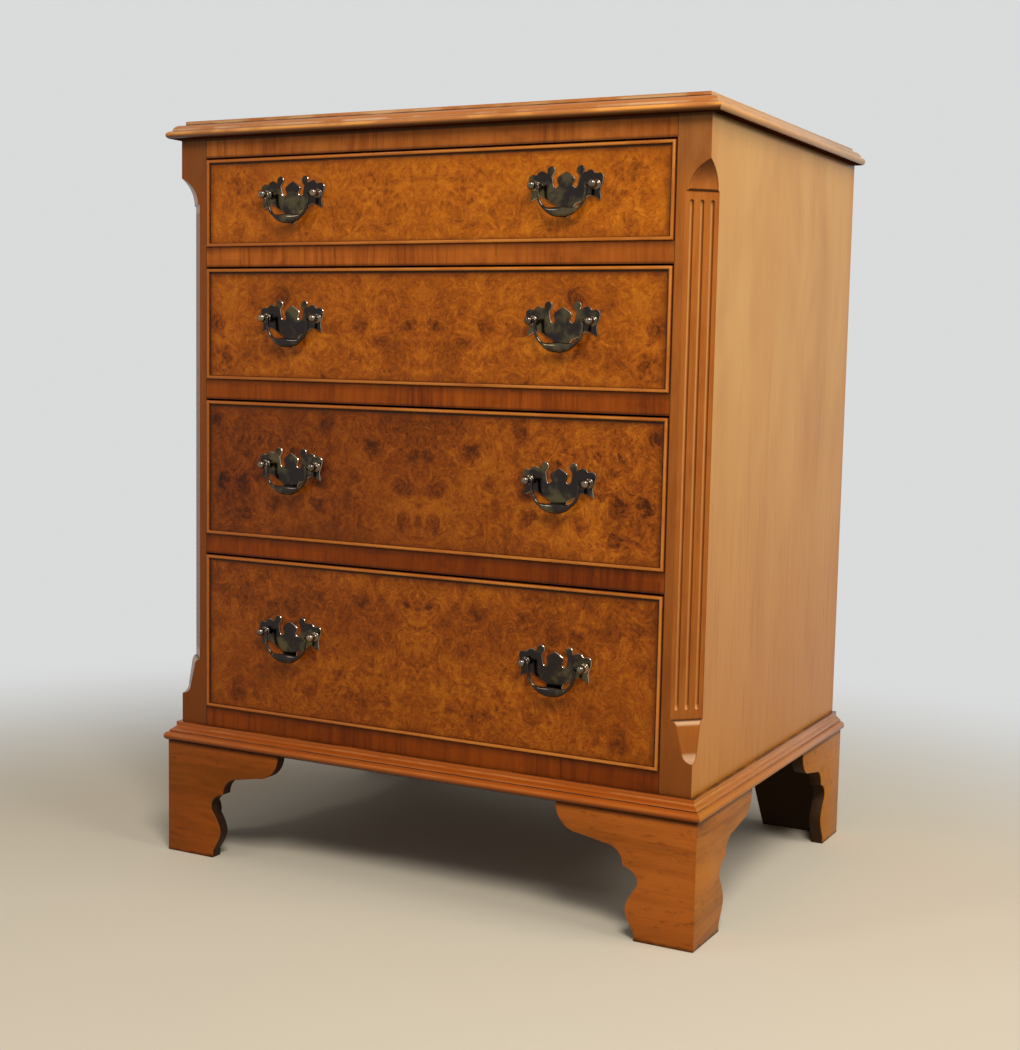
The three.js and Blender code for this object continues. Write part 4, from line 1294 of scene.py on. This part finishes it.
def bracket(name, leg, facing, mitred):
    """A right-hand bracket, on the front face or on the side of the chest."""
    s = sizes()
    outer = HALF + s.foot_reach
    front = FRONT - s.foot_reach
    inward = s.foot_thickness
    if facing:
        points = [(outer - u, front, z) for u, z in bracket_outline(leg)]
        piece = draw(name, points, (0, inward, 0))
        cut(piece, (outer, front, 0), (1, 1, 0))
    elif mitred:
        points = [(outer, front + u, z) for u, z in bracket_outline(leg)]
        piece = draw(name, points, (-inward, 0, 0))
        cut(piece, (outer, front, 0), (-1, -1, 0))
    else:
        points = [(outer, BACK - u, z) for u, z in bracket_outline(leg)]
        piece = draw(name, points, (-inward, 0, 0))
    soften(piece, s.ease, 3, 40)
    return settle(piece)


def mark_sawn(piece, facing):
    """Gives the sawn edges and the inner face of a bracket their finish."""
    s = sizes()

    def outwards(face):
        return -face.center.y if facing else abs(face.center.x)

    shown = max(outwards(face) for face in piece.data.polygons)

    def sawn(face):
        edge = abs(face.normal[int(facing)]) < 0.9 and outwards(face) < shown - s.ease
        return edge or outwards(face) < shown - s.foot_thickness * 0.9

    mark(piece, 1, sawn)


class CHEST_OT_feet(Operator):
    """Model the shaped bracket feet"""

    bl_idname = "chest.feet"
    bl_label = "Bracket Feet"

    def execute(self, context):
        shade = finishes()
        s = sizes()
        sawn = sawn_finish()
        # The left foot is stained deeper, partly as painted shade on the side away from the light.
        faces = {
            "right": foot_finish("foot_front_right", 0, shade.foot_light),
            "left": foot_finish("foot_front_left", 0, stained(shade.foot_light, 0.24)),
        }
        flank = foot_finish("foot_side", 1, blend_of(shade.foot_light, shade.side_low, 0.85))
        pieces = (
            ("front_{}_facing", s.leg_front, True, True),
            ("front_{}_side", s.leg_side, False, True),
            ("rear_{}_side", s.leg_rear, False, False),
        )
        for pattern, leg, facing, mitred in pieces:
            right = bracket("bracket_" + pattern.format("right"), leg, facing, mitred)
            left = copied(right, "bracket_" + pattern.format("left"), mirror=True)
            for piece, name in ((right, "right"), (left, "left")):
                finish = faces[name] if facing else flank
                node = "foot_" + pattern.format(name)
                dress(piece, "carcase", [finish, sawn], "foot_walnut", node)
                mark_sawn(piece, facing)
        return {"FINISHED"}


# Drawers


def cockbead(name, low, high):
    """A ring of cockbead round a drawer front, its front edges rounded over."""
    s = sizes()
    ring = primitive("plane", name, size=1)
    with editing(ring, "FACE"):
        bpy.ops.mesh.select_all(action="SELECT")
        bpy.ops.transform.resize(value=(high.x - low.x, high.z - low.z, 1))
        bpy.ops.mesh.inset(thickness=s.bead_width, depth=0)
        bpy.ops.mesh.delete(type="FACE")
        bpy.ops.mesh.select_all(action="SELECT")
        extrude((0, 0, high.y - low.y))
    ring.rotation_euler.x = math.radians(90)
    ring.location = ((low.x + high.x) / 2, high.y, (low.z + high.z) / 2)
    activate(ring)
    bpy.ops.object.transform_apply(location=True, rotation=True, scale=True)

    def on_rim(edge):
        start, end = (v.co for v in edge.verts)
        aside = min(abs(start.x - end.x), abs(start.z - end.z))
        return max(start.y, end.y) < low.y + 10 * HAIR and aside < MM

    with editing(ring, "EDGE"):
        face_outwards()
        pick("edges", on_rim)
        bpy.ops.mesh.bevel(
            offset=s.bead_width * BEAD_ROUND_SHARE, segments=6, profile=0.5, affect="EDGES"
        )
    return settle(ring, 40)


class CHEST_OT_drawers(Operator):
    """Finish the drawer fronts and linings and model the cockbeads"""

    bl_idname = "chest.drawers"
    bl_label = "Drawers"

    def execute(self, context):
        shade = finishes()
        bead = bead_finish()
        box = straight_grain(
            "drawer_lining", shade.timber_dark, shade.timber_light, 1, roughness=0.6, gloss=0.3
        )
        floor = straight_grain(
            "drawer_floor", shade.timber_dark, shade.timber_light, 0, roughness=0.65, gloss=0.3
        )
        for number in DRAWERS:
            name = f"drawer_{number}"
            refinish(f"{name}_front", burr_front(f"burr_front_{number}", number))
            refinish(f"{name}_box", box)
            refinish(f"{name}_bottom", floor)
            ring = cockbead(f"{name}_bead", *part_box(f"{name}_cockbead"))
            dress(ring, name, [bead], "bead_walnut", f"{name}_cockbead")
        return {"FINISHED"}


# Handles

# Outline of the right half of a handle plate, as shares of its half width and of its height:
# from the point in the middle to the root of the finial, then from the finial to the tail
PLATE_INNER_SHARES = [
    (0, 0.267), (0.121, 0.215), (0.23, 0.146), (0.232, 0.089), (0.197, 0.032), (0.212, -0.018),
    (0.263, -0.038), (0.313, -0.012), (0.338, 0.081), (0.364, 0.174),
]
PLATE_OUTER_SHARES = [
    (0.535, 0.249), (0.636, 0.281), (0.732, 0.255), (0.788, 0.211), (0.889, 0.221), (0.975, 0.186),
    (1, 0.121), (0.975, 0.03), (0.934, -0.061), (0.917, -0.142), (0.939, -0.231), (0.927, -0.289),
    (0.841, -0.261), (0.727, -0.219), (0.621, -0.211), (0.518, -0.259), (0.391, -0.322),
    (0.268, -0.366), (0.22, -0.425), (0.207, -0.506), (0.116, -0.579), (0, -0.632),
]

# Turning of the collar under a ball: its radius and its height over the plate, in millimetres
COLLAR = [(5.2, 0.7), (4.7, 1.3), (3.9, 1.6), (3.1, 1.9), (2.6, 2.6), (2.5, 3.6)]


def plate_outline():
    """The whole outline of a handle plate, with the line of its posts at height zero."""
    s = sizes()
    inner, outer = (
        [(across * s.plate_half, up * s.plate_height) for across, up in shares]
        for shares in (PLATE_INNER_SHARES, PLATE_OUTER_SHARES)
    )
    finial = arc(s.finial_place, s.finial_rise, s.finial_radius, s.finial_radius, 225, -270, 16)
    right = [inner[0], *flowing(inner[1:], 3), *finial, *flowing(outer[:-1], 3), outer[-1]]
    left = [(-x, z) for x, z in right[1:-1]]
    return [*right, *reversed(left)]


def lathe(name, profile, middle, steps):
    """A turning about a line to the front, drawn as radius and reach and spun."""
    x, y, z = middle
    obj = trace(name, [(x + radius, y - reach, z) for radius, reach in profile])
    with editing(obj):
        bpy.ops.mesh.select_all(action="SELECT")
        bpy.ops.mesh.spin(steps=steps, angle=math.tau, center=middle, axis=(0, 1, 0))
        bpy.ops.mesh.select_all(action="SELECT")
        bpy.ops.mesh.remove_doubles(threshold=2 * HAIR)
        face_outwards()
    return obj


def handle_plate(name):
    """A bat-wing plate with its ball posts, and the bolts and nuts behind the drawer front."""
    s = sizes()
    lip, chamfer = s.plate_thickness, s.plate_chamfer
    rim = lip - chamfer
    plate = draw(name, [(x, -rim, z) for x, z in plate_outline()], (0, rim, 0))
    with editing(plate, "FACE"):
        pick("faces", lambda p: all(abs(v.co.y) < HAIR for v in p.verts))
        bpy.ops.mesh.inset(thickness=chamfer, depth=chamfer, use_even_offset=False)
    ball = arc(0, s.ball_reach, s.ball_radius, s.ball_radius, -54, 144, 14)
    post = [
        (0, lip / 2),
        (COLLAR[0][0] * MM, lip / 2),
        *((radius * MM, lip + height * MM) for radius, height in COLLAR),
        *ball[:-1],
        (0, s.ball_reach + s.ball_radius),
    ]
    bolt, tip, end = s.bolt_radius, s.bolt_tip, -s.bolt_length
    shank = [(0, 0), (bolt, 0), (bolt, end + tip), (bolt - tip, end), (0, end)]
    nut, easing = s.nut_radius, s.nut_easing
    face, back = -s.nut_place, -s.nut_place - s.nut_thickness
    disc = [
        (0, face), (nut - easing, face), (nut, face - easing), (nut, back + 2 * easing),
        (nut - 2 * easing, back), (0, back),
    ]
    parts = [
        lathe(word, profile, (side * s.post_spacing / 2, 0, 0), steps)
        for _, side in SIDES
        for word, profile, steps in (("post", post, 28), ("shank", shank, 12), ("nut", disc, 20))
    ]
    return settle(weld(plate, *parts), 40)


def bail_stations():
    """Places along a bail from one pin to the other: x, z, turn, half height, half depth."""
    s = sizes()
    steps = 34
    path = [(-s.bail_half, 0)]
    for i in range(1, steps):
        turn = math.pi * i / steps
        cosine, sine = math.cos(turn), math.sin(turn)
        across = abs(cosine) ** (2 / s.bail_round) * math.copysign(1, cosine)
        path.append((-s.bail_half * across, -s.bail_drop * sine ** (2 / s.bail_round)))
    path.append((s.bail_half, 0))
    stations = []
    for (from_x, from_z), (x, z), (to_x, to_z) in zip(path, path[1:], path[2:]):
        swell = max(0, 1 - (x / s.grip_reach) ** 2)
        stations.append((
            x, z, math.atan2(to_z - from_z, to_x - from_x),
            s.bail_arm + (s.grip_height - s.bail_arm) * swell,
            s.bail_arm + (s.grip_depth - s.bail_arm) * swell,
        ))
    eye, cheek, pin = s.bail_eye, s.eye_cheek, s.bail_pin
    face = s.bail_half + cheek
    ends = [
        (face + s.pin_length, 0, 0, pin, pin),
        (face, 0, 0, pin, pin),
        (face, 0, 0, eye * 0.85, eye * 0.85),
        (face - cheek / 2, 0, 0, eye, eye),
        (s.bail_half, -s.eye_drop, math.pi / 4, eye * 1.15, eye * 0.95),
    ]
    left = [(-x, z, -turn, tall, deep) for x, z, turn, tall, deep in ends]
    return [*left, *stations, *reversed(ends)]


def bail(name):
    """A bail, from its left pin down its arm, along its grip and up to its right pin."""
    stations = bail_stations()
    x, z, _, tall, deep = stations[0]
    ring = primitive("circle", name, vertices=16, radius=1, fill_type="NGON", location=(x, 0, z))
    with editing(ring):
        bpy.ops.mesh.select_all(action="SELECT")
        start = (x, 0, z)
        bpy.ops.transform.rotate(value=math.pi / 2, orient_axis="Y", center_override=start)
        bpy.ops.transform.resize(value=(1, deep, tall), center_override=start)
        for last, here in zip(stations, stations[1:]):
            (x0, z0, turn0, tall0, deep0), (x1, z1, turn1, tall1, deep1) = last, here
            extrude((x1 - x0, 0, z1 - z0))
            middle = (x1, 0, z1)
            bpy.ops.transform.rotate(value=-turn0, orient_axis="Y", center_override=middle)
            growth = (1, deep1 / deep0, tall1 / tall0)
            bpy.ops.transform.resize(value=growth, center_override=middle)
            bpy.ops.transform.rotate(value=turn1, orient_axis="Y", center_override=middle)
    return settle(ring, 50)


class CHEST_OT_handles(Operator):
    """Model one handle and set a copy of it at each of the eight places"""

    bl_idname = "chest.handles"
    bl_label = "Handles"

    def execute(self, context):
        brass = [
            brass_finish("dark_brass", 0.01, 0.12),
            brass_finish("rubbed_brass", 0.6, 0.12),
            brass_finish("ball_brass", 0.28, 0.07),
        ]
        bail_brass = brass_finish("bail_brass", 0.03, 0.07)
        s = sizes()
        plate = handle_plate("plate_pattern")
        swing = bail("bail_pattern")
        plate_face = FRONT - s.plate_thickness
        for number in DRAWERS:
            for name, _ in SIDES:
                node = f"drawer_{number}_plate_{name}"
                low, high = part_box(node)
                x = (low.x + high.x) / 2
                z = high.z - s.finial_rise - s.finial_radius
                piece = copied(plate, f"handle_{number}_{name}", (x, FRONT, z))
                dress(piece, f"drawer_{number}", brass, "antique_brass", node)
                mark(piece, 1, lambda p: plate_face + 2 * HAIR < p.center.y < FRONT)
                mark(piece, 2, lambda p: p.center.y < plate_face - 10 * HAIR)
                hung = copied(swing, f"bail_{number}_{name}", (x, FRONT - s.ball_reach, z))
                swinging = f"drawer_{number}_bail_{name}"
                dress(hung, swinging, [bail_brass], "antique_brass", swinging)
        for pattern in (plate, swing):
            bpy.data.objects.remove(pattern)
        return {"FINISHED"}


# Stage

# Where the photograph was taken from, in metres, and its yaw, pitch and roll in degrees
CAMERA_PLACE = (0.8533, -1.6443, 0.5608)
CAMERA_TURN = (27.723, 6.005, 1.125)
LENS = 56.5
SENSOR_WIDTH = 36

# Size of the floor, a point on it, and how far from there it begins and ends to fade
FLOOR_SIZE = 60
FLOOR_MIDDLE = (0.1, -0.4, 0)
FADE = (0.65, 1.6)

# Colour and strength of the light all round
SOFT_TINT = (0.93, 0.96, 1.0)
SOFT_STRENGTH = 0.26

# Square lamps: name, place, target, size, power and tint
LAMPS = (
    ("key", (1.25, -1.75, 2.45), (0, -0.1, 0.5), 0.9, 62, (1.0, 0.97, 0.92)),
    ("flank", (2.4, -0.2, 2.1), (0.3, 0, 0.5), 1.4, 32, (1.0, 0.98, 0.95)),
    ("fill", (-1.5, -2.1, 2.2), (0, 0, 0.5), 0.4, 6, (1.0, 0.98, 0.96)),
)


def area_light(name, place, target, size, power, tint):
    """A soft square lamp aimed at a point."""
    lamp = bpy.data.lights.new(name, "AREA")
    lamp.size = size
    lamp.energy = power
    lamp.color = tint
    obj = bpy.data.objects.new(name, lamp)
    bpy.context.scene.collection.objects.link(obj)
    obj.location = place
    obj.rotation_euler = (Vector(target) - Vector(place)).to_track_quat("-Z", "Y").to_euler()


class CHEST_OT_stage(Operator):
    """Set up the floor, the soft studio light and the camera"""

    bl_idname = "chest.stage"
    bl_label = "Stage"

    def execute(self, context):
        scene = context.scene
        shade = finishes()
        floor = primitive("plane", "floor", size=FLOOR_SIZE)
        f = Finish("floor", 0.9, gloss=0.1)
        dust = f.noise(f.place, 3, 3)
        f.base = f.mix(dust, blend_of(shade.floor, (1, 1, 1), 0.05), shade.floor)
        f.set()
        ahead = f.moved(f.place, tuple(-c for c in FLOOR_MIDDLE))
        away = f.node("ShaderNodeVectorMath", {"operation": "LENGTH"}, {0: ahead}, "Value")
        glow = f.node("ShaderNodeEmission", {}, {"Color": shade.backdrop, "Strength": 1.0})
        surface = Value(f, f.shader.outputs[0])
        mixed = f.node("ShaderNodeMixShader", {}, {0: away.above(*FADE), 1: surface, 2: glow})
        output = next(n for n in f.tree.nodes if n.type == "OUTPUT_MATERIAL")
        f.tree.links.new(mixed.socket, output.inputs["Surface"])
        floor.data.materials.append(f.material)
        scene.view_settings.view_transform = "Standard"
        self.world(scene)
        for lamp in LAMPS:
            area_light(*lamp)
        self.camera(scene)
        return {"FINISHED"}

    def world(self, scene):
        """A pale backdrop for the eye and for reflections, and a dimmer one for soft light."""
        shade = finishes()
        world = bpy.data.worlds.new("studio")
        scene.world = world
        world.use_nodes = True
        nodes, links = world.node_tree.nodes, world.node_tree.links
        seen = nodes["Background"]
        seen.inputs["Color"].default_value = (*shade.backdrop, 1)
        seen.inputs["Strength"].default_value = 1.0
        soft = nodes.new("ShaderNodeBackground")
        soft.inputs["Color"].default_value = (*SOFT_TINT, 1)
        soft.inputs["Strength"].default_value = SOFT_STRENGTH
        path = nodes.new("ShaderNodeLightPath")
        shown = path.outputs["Is Camera Ray"]
        for kind in ("Is Glossy Ray", "Is Transmission Ray"):
            either = nodes.new("ShaderNodeMath")
            either.operation = "MAXIMUM"
            links.new(shown, either.inputs[0])
            links.new(path.outputs[kind], either.inputs[1])
            shown = either.outputs[0]
        mix = nodes.new("ShaderNodeMixShader")
        links.new(shown, mix.inputs[0])
        links.new(soft.outputs[0], mix.inputs[1])
        links.new(seen.outputs[0], mix.inputs[2])
        links.new(mix.outputs[0], nodes["World Output"].inputs["Surface"])

    def camera(self, scene):
        """Stands the camera where the photograph was taken from."""
        lens = bpy.data.cameras.new("camera")
        lens.lens = LENS
        lens.sensor_width = SENSOR_WIDTH
        lens.sensor_fit = "AUTO"
        camera = bpy.data.objects.new("camera", lens)
        scene.collection.objects.link(camera)
        yaw, pitch, roll = (math.radians(a) for a in CAMERA_TURN)
        ahead = Vector((
            -math.sin(yaw) * math.cos(pitch), math.cos(yaw) * math.cos(pitch), -math.sin(pitch)
        ))
        level = Vector((math.cos(yaw), math.sin(yaw), 0))
        upright = level.cross(ahead)
        right = level * math.cos(roll) + upright * math.sin(roll)
        up = upright * math.cos(roll) - level * math.sin(roll)
        turned = Matrix((right, up, -ahead)).transposed()
        camera.rotation_euler = turned.to_euler()
        camera.location = CAMERA_PLACE
        scene.camera = camera


class CHEST_PT_sidebar(Panel):
    """Lists the pieces of the chest"""

    bl_label = "Bachelor's Chest"
    bl_idname = "CHEST_PT_sidebar"
    bl_space_type = "VIEW_3D"
    bl_region_type = "UI"
    bl_category = "Chest"

    def draw(self, context):
        for operator in OPERATORS:
            self.layout.operator(operator.bl_idname)
        for group in (sizes(), finishes()):
            box = self.layout.box()
            for key in group.__annotations__:
                box.prop(group, key)


OPERATORS = (
    CHEST_OT_stage,
    CHEST_OT_top,
    CHEST_OT_posts,
    CHEST_OT_carcase,
    CHEST_OT_base,
    CHEST_OT_feet,
    CHEST_OT_drawers,
    CHEST_OT_handles,
)
CLASSES = (ChestSizes, ChestFinishes, *OPERATORS, CHEST_PT_sidebar)


def register():
    for kind in CLASSES:
        bpy.utils.register_class(kind)
    bpy.types.Scene.chest_sizes = PointerProperty(type=ChestSizes)
    bpy.types.Scene.chest_finishes = PointerProperty(type=ChestFinishes)


def unregister():
    del bpy.types.Scene.chest_finishes
    del bpy.types.Scene.chest_sizes
    for kind in reversed(CLASSES):
        bpy.utils.unregister_class(kind)


def main():
    """Builds the whole chest."""
    register()
    bpy.ops.chest.stage()
    bpy.ops.chest.top()
    bpy.ops.chest.posts()
    bpy.ops.chest.carcase()
    bpy.ops.chest.base()
    bpy.ops.chest.feet()
    bpy.ops.chest.drawers()
    bpy.ops.chest.handles()
    deselect()


if __name__ == "__main__":
    main()
